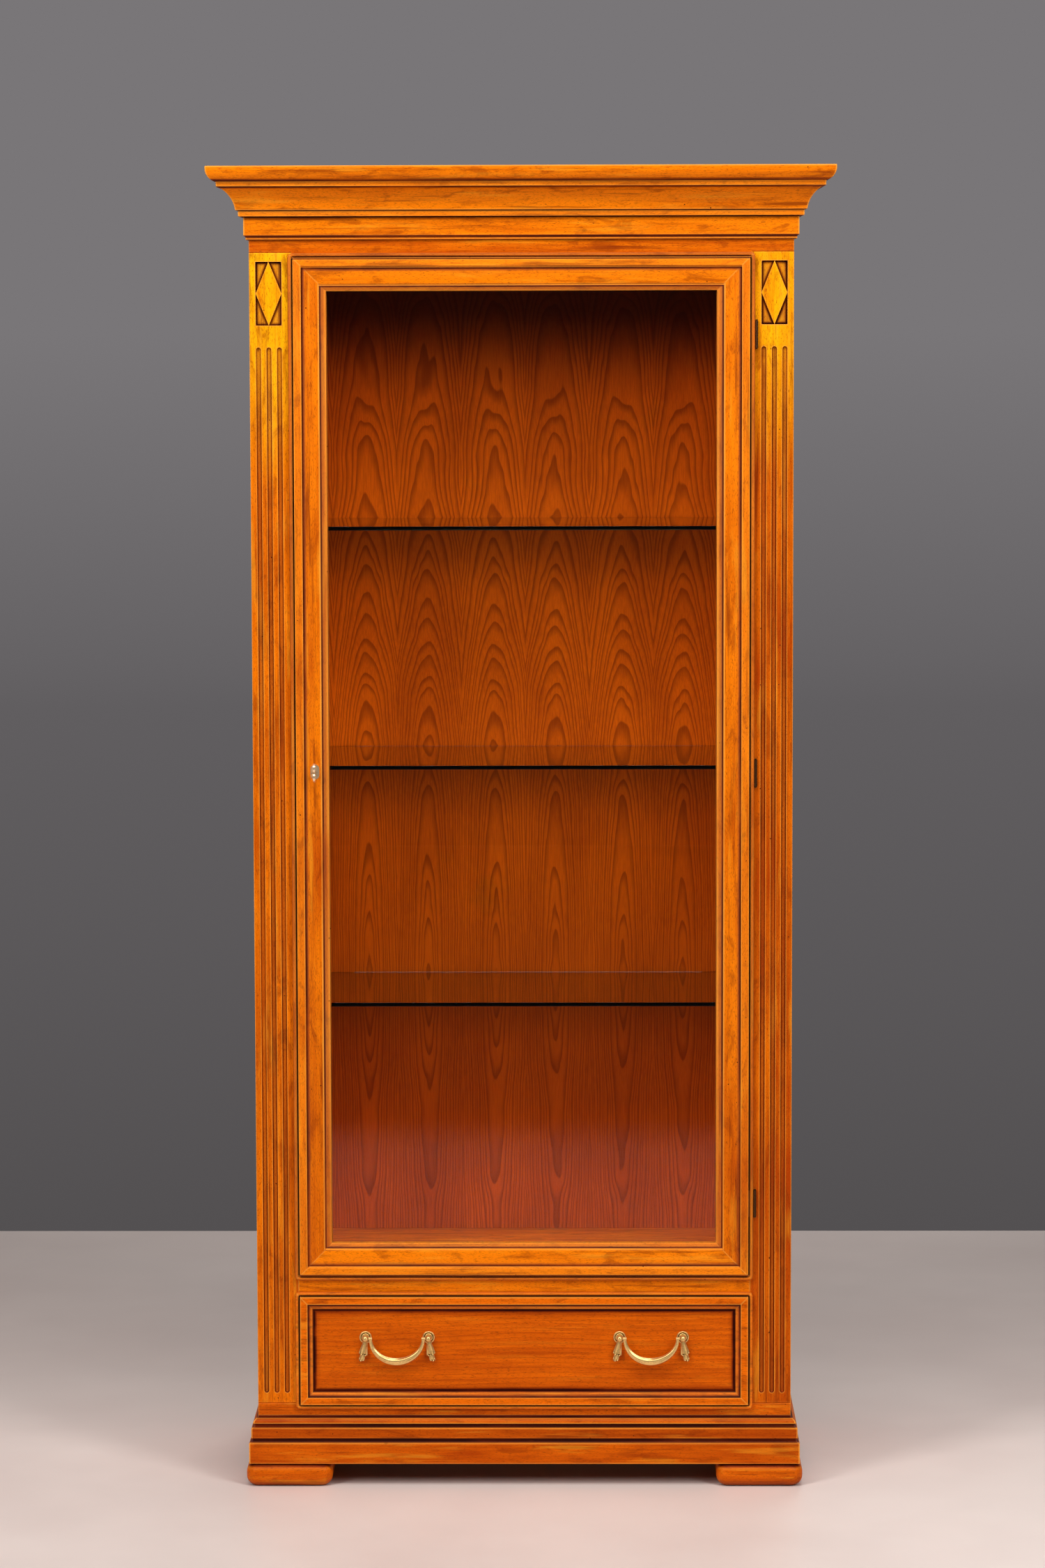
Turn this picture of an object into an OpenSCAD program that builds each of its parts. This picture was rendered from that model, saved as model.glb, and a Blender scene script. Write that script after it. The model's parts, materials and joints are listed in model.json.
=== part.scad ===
// China cabinet: one glazed door, three glass shelves and one drawer below.
// Origin: middle of the footprint, on the floor. +X right, +Y towards the wall, +Z up.
// "Out" below means the distance in front of the face of the pilasters, towards -Y.

/* [Carcass] */
// Width across the pilasters
carcass_w = 810; // [780:1:840]
// Depth from the pilaster face to the wall
carcass_d = 400; // [380:1:430]
// Thickness of the side panels
side_t = 20; // [18:1:22]
// Thickness of the face frame (pilasters and rails)
frame_t = 25; // [24:1:28]
// Thickness of the back panel
back_t = 8; // [6:1:10]
// Thickness of the cabinet floor and the top board
board_t = 18; // [16:1:20]

/* [Heights] */
// Height of the feet
foot_h = 34.8; // [30:0.1:40]
// Height of the pilasters
pilaster_h = 1739; // [1739:1:1760]
// Height of the flush band under the pilasters
bottom_band_h = 19; // [19:0.5:22]
// Height of the flush band over the pilasters
top_band_h = 18.8; // [16:0.1:22]

/* [Door] */
// Height of the door's lower edge over the drawer front's upper edge
door_over_drawer = 18.1; // [16:0.1:22]
// Width of the door over its lips
door_w = 694.6; // [680:0.2:700]
// Height of the door over its lips
door_h = 1548.6; // [1540:0.2:1549]
// Overlap of the lips on the face frame
lip = 5.2; // [5:0.1:6]
// Thickness of the glass pane in the door
pane_t = 4; // [3:1:4]

/* [Drawer] */
// Width of the drawer front over its lips
drawer_w = 694; // [680:0.2:700]
// Height of the drawer front over its lips
drawer_h = 180.4; // [170:0.2:190]
// Length of the drawer box behind its front
drawer_l = 331; // [300:1:331]
// Hole spacing of the two drawer pulls
pull_pitch = 96; // [96:32:128]
// Distance of each pull from the middle
pull_x = 193; // [170:1:210]

/* [Shelves] */
// Thickness of the glass shelves
shelf_t = 6; // [5:1:8]
// Depth of the glass shelves
shelf_d = 340; // [300:1:340]
// Height of the lowest shelf's top
shelf_z = 735; // [700:1:760]
// Spacing of the shelves
shelf_pitch = 361; // [340:1:361]

/* [Hidden] */
$fn = 48;

e = 1;              // extra length of a cut past a face
mitre_gap = 0.05;   // glue line of a mitre, measured along the member
half_w = carcass_w / 2;

// Depths. The crown of the cornice stands 60 out on the front and both sides.
crown_out = 60;
back_y = (carcass_d + crown_out) / 2;
face_y = back_y - carcass_d;
frame_back_y = face_y + frame_t;
rebate_y = back_y - 7 - back_t;         // inner face of the back panel
rebate_w = side_t / 2;                  // how far the back panel enters the sides
inner_x = half_w - side_t;

// Heights of the stack, from the floor up
base_h = 72.6;
frieze_h = 43.3;
crown_h = 64.3;
base_z = foot_h;
carcass_z = base_z + base_h;
pilaster_z = carcass_z + bottom_band_h;
top_band_z = pilaster_z + pilaster_h;
frieze_z = top_band_z + top_band_h;
crown_z = frieze_z + frieze_h;
top_z = crown_z + crown_h;

// Drawer front, door and the openings that they lip over
drawer_z = pilaster_z - 8.6;
door_z = drawer_z + drawer_h + door_over_drawer;
open_x = door_w / 2 - lip;
drawer_open_top = drawer_z + drawer_h - lip;
door_open_z = door_z + lip;
door_open_top = door_z + door_h - lip;
floor_z = door_open_z - 0.5;            // top of the cabinet floor
ceiling_z = door_open_top + 0.3;        // underside of the top board
gap = 1;                                // play of the door and drawer in the openings
lip_gap = 0.5;                          // play between a lip and the face frame

// Door member: height of the front flat, depth of the back, seat of the glass
flat_out = 9;
door_back = -16;
glass_seat = -7;
door_edge_u = lip + gap;
door_bead = 7.5;                        // width of the edge bead with its quirk
drawer_bead = 7;
member_w = 57;                          // width of a door member
rebate_u = 49;                          // where the glass rebate starts
panel_t = 14;                           // thickness of the drawer front's panel
drawer_member_w = 27;                   // width of the moulding round that panel

// Lock: key axis in the left stile, halfway up
key_u = 35.3;
key_x = -door_w / 2 + key_u;
key_z = 1091;
key_r = 2;                              // shank of the key
keyhole_r = 2.6;
case_u = [19, 47.5];
case_h = 50;
case_out = [door_back, -6];
chamber_r = 8.6;                        // room for the key's bit to turn
chamber_out = [-14.5, -8.5];
bolt_z = [key_z + 10, key_z + 18];
bolt_out = [-14, -8];
bolt_l = 38;
bolt_travel = 8;
bolt_slot = 0.5;                        // play of the bolt in the stile
bolt_pocket = [12, 0.6];                // depth and play of its hole in the pilaster
strike_z = [key_z - 6, key_z + 34];
strike_out = [-20, -4];
strike_t = 1.2;

// Escutcheon: an oval plate let into the slope of the stile
plate_r = 6.45;
plate_l = 9;                            // straight length between its round ends
plate_slope = 8;
plate_out = 3.3;                        // height of the slope at the key
plate_let_in = 1;
plate_t = 2.2;

// Hinges: knuckle axis beside the door's right lip
hinge_x = door_w / 2 + 2.2;
hinge_out = 2;
knuckle_r = 2.4;
pin_r = 1;
hinge_h = 40;
knuckles = 5;
hinge_play = 0.35;
hinge_end_play = 2.2;                   // room over and under the pin's heads
hinge_zs = [434, 1088, 1743];
leaf_t = 1.5;
leaf_l = 22;

// Flutes and lozenges, in the middle of the pilaster that shows
pilaster_mid = (half_w + door_w / 2) / 2;
flute_pitch = 15.6;
flute_r = 3.72;
flute_out = 0.7;
flute_z = [142, 1725.5];
lozenge_z = 1805;
lozenge_w = 38.5;
lozenge_h = 94.3;
lozenge_depth = 4;

// Drawer box and its runners
box_x = open_x - 1.6;                   // outer face of a drawer side
box_t = 12;
box_h = 142;
box_z = pilaster_z + 1;
box_front_y = face_y + panel_t;
bottom_z = box_z + 6;
bottom_t = 6;
bottom_board_t = 15;
runner_top = box_z - 0.6;

// Drawer pulls
pull_z = 228;
pull_posts = [for (s = [-1, 1], t = [-1, 1]) [s * pull_x + t * pull_pitch / 2, t]];
screw_r = 2;                            // the posts' screws and the nuts' bores
screw_play = 0.15;
rosette_r = 9.5;
neck_r = 2.6;
ball_r = 4.75;
ball_out = 12;
bail_side_r = 32;                       // radius of the bail's two side arcs
bail_mid_r = 43.35;                     // radius of its middle arc
bail_half = 40;                         // half its width at the pins

// Shelf pins and their rows of holes
shelf_zs = [for (i = [0 : 2]) shelf_z + i * shelf_pitch];
shelf_front_y = frame_back_y + 17;
pin_ys = [shelf_front_y + 40, shelf_front_y + shelf_d - 40];
shelf_pin_r = 2.5;
hole_pitch = 32;

// Screws of the back panel, in the rebate of each side
screw_zs = [for (i = [0 : 6]) carcass_z + 60 + i * 280];
back_screw_r = 1.5;

wood = [0.86, 0.44, 0.07];
wood_light = [0.93, 0.52, 0.08];
veneer = [0.62, 0.26, 0.05];
brass = [0.76, 0.66, 0.38];
bronze = [0.25, 0.15, 0.08];
steel = [0.6, 0.6, 0.62];
glass = [0.6, 0.75, 0.7, 0.35];

// Points of an arc, from angle a0 to a1
function arc(cx, cy, r, a0, a1, n = 8) =
    [for (i = [0 : n]) let (a = a0 + (a1 - a0) * i / n) [cx + r * cos(a), cy + r * sin(a)]];

// ---------- outlines ----------

// Base moulding, as [out, height]: plinth, cove, fillet, groove and sloped fillet
function base_outline() = concat(
    [[-25, 0], [12.7, 0], [13.5, 0.8], [13.5, 31.4], [12.6, 33], [10, 33.5]],
    arc(12.4, 36.1, 3.4, 230, 130, 5),
    [[10.3, 39.3], [10.3, 53.8], [9.5, 55.2], [6.8, 55.6], [6.2, 56.6], [6.2, 60]],
    [[6.7, 61], [7.7, 61.3]],
    arc(-0.4, 60.6, 8.1, 10, 62, 5),
    [[3.2, 69.3], [1.2, 69.5], [1, base_h], [-25, base_h]]);

// Frieze with its small cove below and its fillet above
function frieze_outline() = concat(
    [[0, 0], [3.6, 0.2], [4.3, 0.9], [4.4, 3.3]],
    arc(7.5, 3.2, 2.9, 178, 95, 5),
    [[7.4, 6.8], [7.4, 33.4], [6.8, 34.1], [13, 34.3]],
    arc(13.3, 35.6, 1.2, -70, 0, 3),
    [[14.7, 41.8], [14, frieze_h], [0, frieze_h]]);

// Crown: cavetto, fillet and a quarter round, with a rebate for the top panel
function crown_outline() = concat(
    [[-10, 0], [17.6, 0], [18.7, 0.9]],
    arc(62.6, -5.1, 44.3, 171.6, 120.7, 14),
    [[43.6, 33.4], [44.8, 34.6], [45.2, 41.2], [46.4, 41.8]],
    arc(40, 60.4, 20, -67, 0, 10),
    [[crown_out, 63.3], [59.2, crown_h], [0, crown_h], [0, crown_h - 8]],
    [[-10, crown_h - 8]]);

// Edge bead and quirk of the door, as [from the edge, out]
function door_bead_outline() = concat(
    [[0, lip_gap]],
    arc(2.75, 4.25, 2.75, 180, 0, 10),
    [[5.6, 3.7], [door_bead, 3.7], [door_bead, lip_gap]]);

// The rest of a door member: flat, cove, slope, quirk, bevel and glass rebate
function door_outline() = concat(
    [[door_edge_u, door_back], [door_edge_u, lip_gap], [door_bead, lip_gap]],
    arc(door_bead + 0.9, flat_out - 0.9, 0.9, 180, 90, 3),
    arc(18.8, flat_out - 0.8, 0.8, 90, 10, 3),
    arc(23.6, 8.4, 3.7, 190, 265, 5),
    [[30, 4.1], [38, 2.9], [44.6, 1.7], [45.6, 1.3], [46.1, 0.2], [47.9, -0.8]],
    [[48.5, -0.5], [55, -4.4], [member_w - 0.8, -5.2], [member_w - 0.8, glass_seat]],
    [[rebate_u, glass_seat], [rebate_u, door_back]]);

// Edge bead and quirk of the drawer front
function drawer_bead_outline() = concat(
    [[0, lip_gap]],
    arc(2.5, 3.8, 2.5, 180, 0, 10),
    [[5.1, 3.4], [drawer_bead, 3.4], [drawer_bead, lip_gap]]);

// Flat and bevel of the drawer moulding, which sits on the panel
function drawer_outline() = concat(
    [[6.6, 0], [6.6, lip_gap], [drawer_bead, lip_gap]],
    arc(drawer_bead + 0.9, flat_out - 0.9, 0.9, 180, 90, 3),
    arc(18, flat_out - 0.8, 0.8, 90, 10, 3),
    [[18.9, 7.6], [19.7, 7.2], [26.2, 3.6], [drawer_member_w, 2.6], [drawer_member_w, 0]]);

// ---------- moulding runs and mitred frames ----------

// Plan area of the front run, from mitre to mitre
module front_mitre(h) {
    linear_extrude(h)
        polygon([
            [-half_w - 100, face_y - 100], [half_w + 100, face_y - 100],
            [half_w - 100, face_y + 100], [-half_w + 100, face_y + 100]]);
}

// A moulding along the front; outline is [out, height]
module front_run(outline, h) {
    intersection() {
        translate([-half_w - 100, face_y, 0])
            rotate([90, 0, 90])
                linear_extrude(carcass_w + 200)
                    polygon([for (p = outline) [-p[0], p[1]]]);
        translate([0, 0, -e]) front_mitre(h + 2 * e);
    }
}

// The same moulding along the right side, back to the wall
module right_run(outline, h) {
    difference() {
        translate([half_w, back_y, 0])
            rotate([90, 0, 0])
                linear_extrude(carcass_d + 100)
                    polygon(outline);
        translate([0, 0, -e]) front_mitre(h + 2 * e);
    }
}

module left_run(outline, h) {
    mirror([1, 0, 0]) right_run(outline, h);
}

// Wedge that mitres both ends of a member $length long, out to distance m
module mitre_wedge(m) {
    reach = 40;
    translate([0, reach, 0])
        rotate([90, 0, 0])
            linear_extrude(2 * reach)
                polygon([
                    [-e, mitre_gap - e], [m, m + mitre_gap],
                    [m, $length - m - mitre_gap], [-e, $length + e - mitre_gap]]);
}

// Left member of a frame, its lower end at the origin; outline is [in, out]
module mitred_run(m, outline) {
    intersection() {
        linear_extrude($length) polygon([for (p = outline) [p[0], -p[1]]]);
        mitre_wedge(m);
    }
}

// Edge bead of that member. At each end it runs round the corner on a quarter turn.
module bead_run(bead, bead_w) {
    translate([0, 0, bead_w])
        linear_extrude($length - 2 * bead_w) polygon([for (p = bead) [p[0], -p[1]]]);
    for (end = [[bead_w, 180], [$length - bead_w, 90]])
        translate([bead_w, 0, end[0]])
            rotate([90, 0, 0])
                rotate([0, 0, end[1]])
                    rotate_extrude(angle = 90)
                        polygon([for (p = bead) [bead_w - p[0], p[1]]]);
}

module frame_member(m, body, bead, bead_w) {
    intersection() {
        union() {
            linear_extrude($length) polygon([for (p = body) [p[0], -p[1]]]);
            bead_run(bead, bead_w);
        }
        mitre_wedge(m);
    }
}

// Turns a left member into any side of a frame of size w by h
module frame_side(side, w, h) {
    $length = side == "left" || side == "right" ? h : w;
    translate([-w / 2, 0, 0])
        if (side == "left")
            children();
        else if (side == "right")
            translate([w, 0, 0]) mirror([1, 0, 0]) children();
        else if (side == "bottom")
            mirror([1, 0, -1]) children();
        else
            translate([0, 0, h]) mirror([0, 0, 1]) mirror([1, 0, -1]) children();
}

module door_member(side) {
    translate([0, face_y, door_z])
        frame_side(side, door_w, door_h)
            frame_member(member_w + e, door_outline(), door_bead_outline(), door_bead);
}

// A box given by its lowest and highest corners
module span(lo, hi) {
    translate(lo) cube([hi[0] - lo[0], hi[1] - lo[1], hi[2] - lo[2]]);
}

// Rectangle with round corners, centred
module soft_rect(w, h, r) {
    square([w - 2 * r, h], center = true);
    square([w, h - 2 * r], center = true);
    for (sx = [-1, 1], sy = [-1, 1])
        translate([sx * (w / 2 - r), sy * (h / 2 - r)]) circle(r = r);
}

// A square groove on its corner, cut along X at height z into the face
module v_groove(z) {
    side = 1.8;
    translate([-half_w - e, face_y, z])
        rotate([45, 0, 0])
            translate([0, -side / 2, -side / 2])
                cube([carcass_w + 2 * e, side, side]);
}

// ---------- carcass ----------

// Holes for the shelf pins: the pin's own, one above it and one below it
module pin_holes(depth) {
    for (z = shelf_zs, y = pin_ys, i = [-1 : 1])
        translate([inner_x - e, y, z - shelf_t - shelf_pin_r + i * hole_pitch])
            rotate([0, 90, 0])
                cylinder(r = shelf_pin_r, h = depth + e);
}

module back_screw_shanks() {
    bite = 16;
    for (s = [-1, 1], z = screw_zs)
        translate([s * (inner_x + rebate_w / 2), rebate_y - bite, z])
            rotate([-90, 0, 0])
                cylinder(r = back_screw_r, h = back_t + bite);
}

module side_panel(s) {
    difference() {
        mirror([s < 0 ? 1 : 0, 0, 0])
            difference() {
                span([inner_x, frame_back_y, carcass_z], [half_w, back_y, crown_z]);
                span([inner_x - e, rebate_y, carcass_z - e],
                    [inner_x + rebate_w, back_y + e, crown_z + e]);
                pin_holes(10);
            }
        back_screw_shanks();
    }
}

module side_panel_left() { color(wood) side_panel(-1); }

module side_panel_right() { color(wood) side_panel(1); }

module back_panel() {
    x = inner_x + rebate_w;
    color(veneer)
        difference() {
            span([-x, rebate_y, carcass_z], [x, rebate_y + back_t, top_z - 8]);
            back_screw_shanks();
        }
}

module inner_board(z, t) {
    span([-inner_x, frame_back_y, z], [inner_x, rebate_y, z + t]);
}

module top_board() { color(veneer) inner_board(ceiling_z, board_t); }

module cabinet_floor() { color(veneer) inner_board(floor_z - board_t, board_t); }

module bottom_board() { color(veneer) inner_board(carcass_z, bottom_board_t); }

// Face frame stile with its flutes and the sunk field of the lozenge
module pilaster_blank() {
    difference() {
        span([open_x, face_y, pilaster_z], [half_w, frame_back_y, top_band_z]);
        for (i = [-1 : 1])
            translate([pilaster_mid + i * flute_pitch, face_y - flute_out, 0]) {
                translate([0, 0, flute_z[0] + flute_r])
                    cylinder(r = flute_r, h = flute_z[1] - flute_z[0] - 2 * flute_r);
                for (z = [flute_z[0] + flute_r, flute_z[1] - flute_r])
                    translate([0, 0, z]) sphere(r = flute_r);
            }
        translate([pilaster_mid, face_y + lozenge_depth, lozenge_z])
            rotate([90, 0, 0])
                linear_extrude(lozenge_depth + e) soft_rect(lozenge_w, lozenge_h, 3);
        v_groove(pilaster_z);
        v_groove(top_band_z);
    }
}

// The hole that the bolt enters, through the strike plate
module bolt_hole() {
    play = bolt_pocket[1];
    span([-open_x - bolt_pocket[0], face_y - bolt_out[1] - play, bolt_z[0] - play],
        [-open_x + e, face_y - bolt_out[0] + play, bolt_z[1] + play]);
}

module strike_blank(extra) {
    span([-open_x - strike_t, face_y - strike_out[1], strike_z[0]],
        [-open_x + extra, face_y - strike_out[0], strike_z[1]]);
}

// Left: the pocket of the strike plate and the bolt's hole
module pilaster_left() {
    color(wood_light)
        difference() {
            mirror([1, 0, 0]) pilaster_blank();
            strike_blank(e);
            bolt_hole();
        }
}

// Right: slots for the hinge leaves and a recess round each set of knuckles
module pilaster_right() {
    color(wood_light)
        difference() {
            pilaster_blank();
            for (z = hinge_zs) {
                translate([hinge_x - leaf_t / 2, face_y - e, z - hinge_h / 2])
                    cube([leaf_t, leaf_l + e, hinge_h]);
                translate([hinge_x, face_y - hinge_out, z - hinge_h / 2 - hinge_end_play])
                    cylinder(r = knuckle_r + hinge_play, h = hinge_h + 2 * hinge_end_play);
            }
        }
}

module lozenge() {
    x = lozenge_w / 2;
    z = lozenge_h / 2;
    translate([pilaster_mid, face_y + lozenge_depth, lozenge_z])
        rotate([90, 0, 0])
            linear_extrude(lozenge_depth - 0.3)
                polygon([[-x, 0], [0, -z], [x, 0], [0, z]]);
}

module lozenge_left() { color(wood_light) mirror([1, 0, 0]) lozenge(); }

module lozenge_right() { color(wood_light) lozenge(); }

module top_rail() {
    color(wood)
        difference() {
            union() {
                span([-half_w, face_y, top_band_z], [half_w, frame_back_y, crown_z]);
                span([-open_x, face_y, door_open_top], [open_x, frame_back_y, top_band_z]);
            }
            difference() {
                v_groove(top_band_z);
                span([-open_x, face_y - 5, top_band_z - 5], [open_x, face_y + 5, top_band_z + 5]);
            }
        }
}

module middle_rail() {
    color(wood)
        span([-open_x, face_y, drawer_open_top], [open_x, frame_back_y, door_open_z]);
}

module bottom_rail() {
    color(wood)
        difference() {
            span([-half_w, face_y, carcass_z], [half_w, frame_back_y, pilaster_z]);
            v_groove(pilaster_z);
        }
}

module frieze_front() {
    color(wood) translate([0, 0, frieze_z]) front_run(frieze_outline(), frieze_h);
}

module frieze_left() {
    color(wood) translate([0, 0, frieze_z]) left_run(frieze_outline(), frieze_h);
}

module frieze_right() {
    color(wood) translate([0, 0, frieze_z]) right_run(frieze_outline(), frieze_h);
}

module cornice_front() {
    color(wood) translate([0, 0, crown_z]) front_run(crown_outline(), crown_h);
}

module cornice_left() {
    color(wood) translate([0, 0, crown_z]) left_run(crown_outline(), crown_h);
}

module cornice_right() {
    color(wood) translate([0, 0, crown_z]) right_run(crown_outline(), crown_h);
}

// Panel that closes the crown, two below its rim
module cornice_top() {
    color(veneer) span([-half_w, face_y, top_z - 8], [half_w, back_y, top_z - 2]);
}

module plinth_front() {
    color(wood) translate([0, 0, base_z]) front_run(base_outline(), base_h);
}

module plinth_left() {
    color(wood) translate([0, 0, base_z]) left_run(base_outline(), base_h);
}

module plinth_right() {
    color(wood) translate([0, 0, base_z]) right_run(base_outline(), base_h);
}

module plinth_back() {
    x = half_w - 25;
    color(wood) span([-x, back_y - 25, base_z], [x, back_y, carcass_z]);
}

// ---------- feet ----------

module foot(sx, sy) {
    size = 131;
    side_out = 18;      // how far the feet stand out past the carcass
    nose_r = 13;
    corner_r = 9;
    x = sx * (half_w + side_out - size / 2);
    y = sy > 0 ? back_y - size / 2 : face_y - side_out + size / 2;
    translate([x, y, foot_h / 2])
        intersection() {
            rotate([90, 0, 0])
                linear_extrude(size + 2 * e, center = true) soft_rect(size, foot_h, nose_r);
            rotate([90, 0, 90])
                linear_extrude(size + 2 * e, center = true) soft_rect(size, foot_h, nose_r);
            linear_extrude(foot_h + 2 * e, center = true) soft_rect(size, size, corner_r);
        }
}

module foot_front_left() { color(wood) foot(-1, -1); }

module foot_front_right() { color(wood) foot(1, -1); }

module foot_rear_left() { color(wood) foot(-1, 1); }

module foot_rear_right() { color(wood) foot(1, 1); }

// ---------- shelves ----------

module glass_shelf(i) {
    x = inner_x - 2;
    color(glass)
        span([-x, shelf_front_y, shelf_zs[i] - shelf_t],
            [x, shelf_front_y + shelf_d, shelf_zs[i]]);
}

module glass_shelf_lower() { glass_shelf(0); }

module glass_shelf_middle() { glass_shelf(1); }

module glass_shelf_upper() { glass_shelf(2); }

// Plain metal pins with a collar, two to a side under each shelf
module shelf_pins() {
    color(brass)
        for (s = [0, 1], z = shelf_zs, y = pin_ys)
            mirror([s, 0, 0])
                translate([inner_x, y, z - shelf_t - shelf_pin_r])
                    rotate([0, 90, 0]) {
                        translate([0, 0, -10]) cylinder(r = shelf_pin_r, h = 20);
                        translate([0, 0, -1.2]) cylinder(r = 4, h = 1.2);
                    }
}

// ---------- drawer runners ----------

module drawer_runner() {
    seat_x = box_x - 22;
    span([seat_x, frame_back_y, carcass_z + bottom_board_t], [inner_x, rebate_y, runner_top]);
    span([box_x + 1.2, frame_back_y, runner_top], [inner_x, rebate_y, runner_top + 22]);
}

module drawer_runner_left() { color(veneer) mirror([1, 0, 0]) drawer_runner(); }

module drawer_runner_right() { color(veneer) drawer_runner(); }

// ---------- hinges, lock and screws ----------

// Knuckles of one leaf: even ones on the frame, odd ones on the door
module knuckle_set(first, bore) {
    step = hinge_h / knuckles;
    for (i = [first : 2 : knuckles - 1])
        translate([0, 0, i * step - hinge_h / 2 + 0.15])
            difference() {
                cylinder(r = knuckle_r, h = step - 0.3);
                translate([0, 0, -e]) cylinder(r = bore, h = step + 2 * e);
            }
}

// Tabs that join the knuckles to their leaf, from the knuckle out to depth d along -Y
module leaf_tabs(first, d, bore) {
    step = hinge_h / knuckles;
    for (i = [first : 2 : knuckles - 1])
        translate([-leaf_t / 2, (bore + knuckle_r) / 2, i * step - hinge_h / 2 + 0.15])
            cube([leaf_t, d, step - 0.3]);
}

module hinge_frame_leaves() {
    color(bronze)
        for (z = hinge_zs)
            translate([hinge_x, face_y - hinge_out, z]) {
                knuckle_set(0, pin_r);
                leaf_tabs(0, 3, pin_r);
                translate([-leaf_t / 2, hinge_out + 1, -hinge_h / 2])
                    cube([leaf_t, leaf_l - 1, hinge_h]);
            }
}

module hinge_door_leaves() {
    bore = pin_r + 0.06;
    color(bronze)
        for (z = hinge_zs)
            translate([hinge_x, face_y - hinge_out, z])
                rotate([0, 0, 90]) {
                    knuckle_set(1, bore);
                    leaf_tabs(1, 4, bore);
                    translate([-leaf_t / 2, knuckle_r + 1, -hinge_h / 2])
                        cube([leaf_t, leaf_l, hinge_h]);
                }
}

module hinge_pins() {
    color(bronze)
        for (z = hinge_zs)
            translate([hinge_x, face_y - hinge_out, z]) {
                translate([0, 0, -hinge_h / 2 - 1]) cylinder(r = pin_r, h = hinge_h + 2);
                for (s = [-1, 1])
                    translate([0, 0, s * (hinge_h / 2 + 0.7)])
                        cylinder(r = 1.9, h = 1.2, center = true);
            }
}

module strike_plate() {
    color(brass)
        difference() {
            strike_blank(0);
            bolt_hole();
        }
}

module back_panel_screws() {
    color(steel) {
        back_screw_shanks();
        for (s = [-1, 1], z = screw_zs)
            translate([s * (inner_x + rebate_w / 2), rebate_y + back_t, z])
                rotate([-90, 0, 0])
                    cylinder(r = 3.4, h = 1.8);  // head
    }
}

// ---------- door ----------

// Mortise of the lock case; the case itself fills it
module lock_mortise(extra) {
    span([-door_w / 2 + case_u[0], face_y - case_out[1], key_z - case_h / 2],
        [-door_w / 2 + case_u[1], face_y - door_back + extra, key_z + case_h / 2]);
}

// Frame of the escutcheon: its back is at Z 0, and +Z points out of the slope
module on_slope() {
    translate([key_x, face_y - plate_out + plate_let_in, key_z])
        rotate([0, 0, plate_slope])
            rotate([90, 0, 0])
                children();
}

module plate_plan(grow = 0) {
    square([2 * (plate_r + grow), plate_l], center = true);
    for (s = [-1, 1]) translate([0, s * plate_l / 2]) circle(r = plate_r + grow);
}

module door_stile_left() {
    fit = 0.1;
    color(wood)
        difference() {
            door_member("left");
            lock_mortise(e);
            span([-door_w / 2, face_y - bolt_out[1] - bolt_slot, bolt_z[0] - bolt_slot],
                [-door_w / 2 + case_u[0] + e, face_y - bolt_out[0] + bolt_slot,
                    bolt_z[1] + bolt_slot]);
            translate([key_x, face_y - case_out[1] + e, key_z])
                rotate([90, 0, 0])
                    cylinder(r = keyhole_r, h = 30);
            on_slope() linear_extrude(20) plate_plan(fit);
        }
}

module door_stile_right() {
    color(wood)
        difference() {
            door_member("right");
            for (z = hinge_zs) {
                translate([hinge_x, face_y - hinge_out, z - hinge_h / 2 - hinge_end_play])
                    cylinder(r = knuckle_r + hinge_play, h = hinge_h + 2 * hinge_end_play);
                translate([hinge_x - leaf_l - knuckle_r - 1, face_y - hinge_out - leaf_t / 2,
                    z - hinge_h / 2])
                    cube([leaf_l + knuckle_r, leaf_t, hinge_h]);
            }
        }
}

module door_rail_top() { color(wood) door_member("top"); }

module door_rail_bottom() { color(wood) door_member("bottom"); }

module door_glass() {
    x = door_w / 2 - rebate_u - 0.5;
    color(glass)
        span([-x, face_y - glass_seat, door_z + rebate_u + 0.5],
            [x, face_y - glass_seat + pane_t, door_z + door_h - rebate_u - 0.5]);
}

// Four mitred beads behind the pane
module glazing_beads() {
    w = 8;
    seat = glass_seat - pane_t;
    bead = [[0, door_back], [0, seat], [w, seat], [w, seat - 2], [w - 2.5, door_back]];
    color(wood)
        translate([0, face_y, door_z + rebate_u])
            for (side = ["left", "right", "bottom", "top"])
                frame_side(side, door_w - 2 * rebate_u, door_h - 2 * rebate_u)
                    mitred_run(w + e, bead);
}

// Case with a round chamber for the key's bit and a channel for the bolt above it
module lock_case() {
    play = 0.4;
    channel_l = 29.3;
    color(steel)
        difference() {
            lock_mortise(0);
            translate([key_x, face_y - chamber_out[0], key_z])
                rotate([90, 0, 0])
                    cylinder(r = chamber_r, h = chamber_out[1] - chamber_out[0]);
            translate([key_x, face_y - chamber_out[0], key_z])
                rotate([90, 0, 0])
                    cylinder(r = keyhole_r, h = case_out[1] - chamber_out[0] + e);
            span([-door_w / 2 + case_u[0] - e, face_y - bolt_out[1] - play, bolt_z[0] - play],
                [-door_w / 2 + case_u[0] + channel_l, face_y - bolt_out[0] + play,
                    bolt_z[1] + play]);
        }
}

// Oval plate with the keyhole
module escutcheon() {
    color(brass)
        on_slope()
            difference() {
                linear_extrude(plate_t) plate_plan();
                translate([0, 0, -e]) cylinder(r = keyhole_r, h = plate_t + 2 * e);
            }
}

// A rod along Y on the key's axis, between two distances in front of the face
module key_rod(r, from, to) {
    translate([key_x, face_y - from, key_z])
        rotate([90, 0, 0])
            cylinder(r = r, h = to - from);
}

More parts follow.
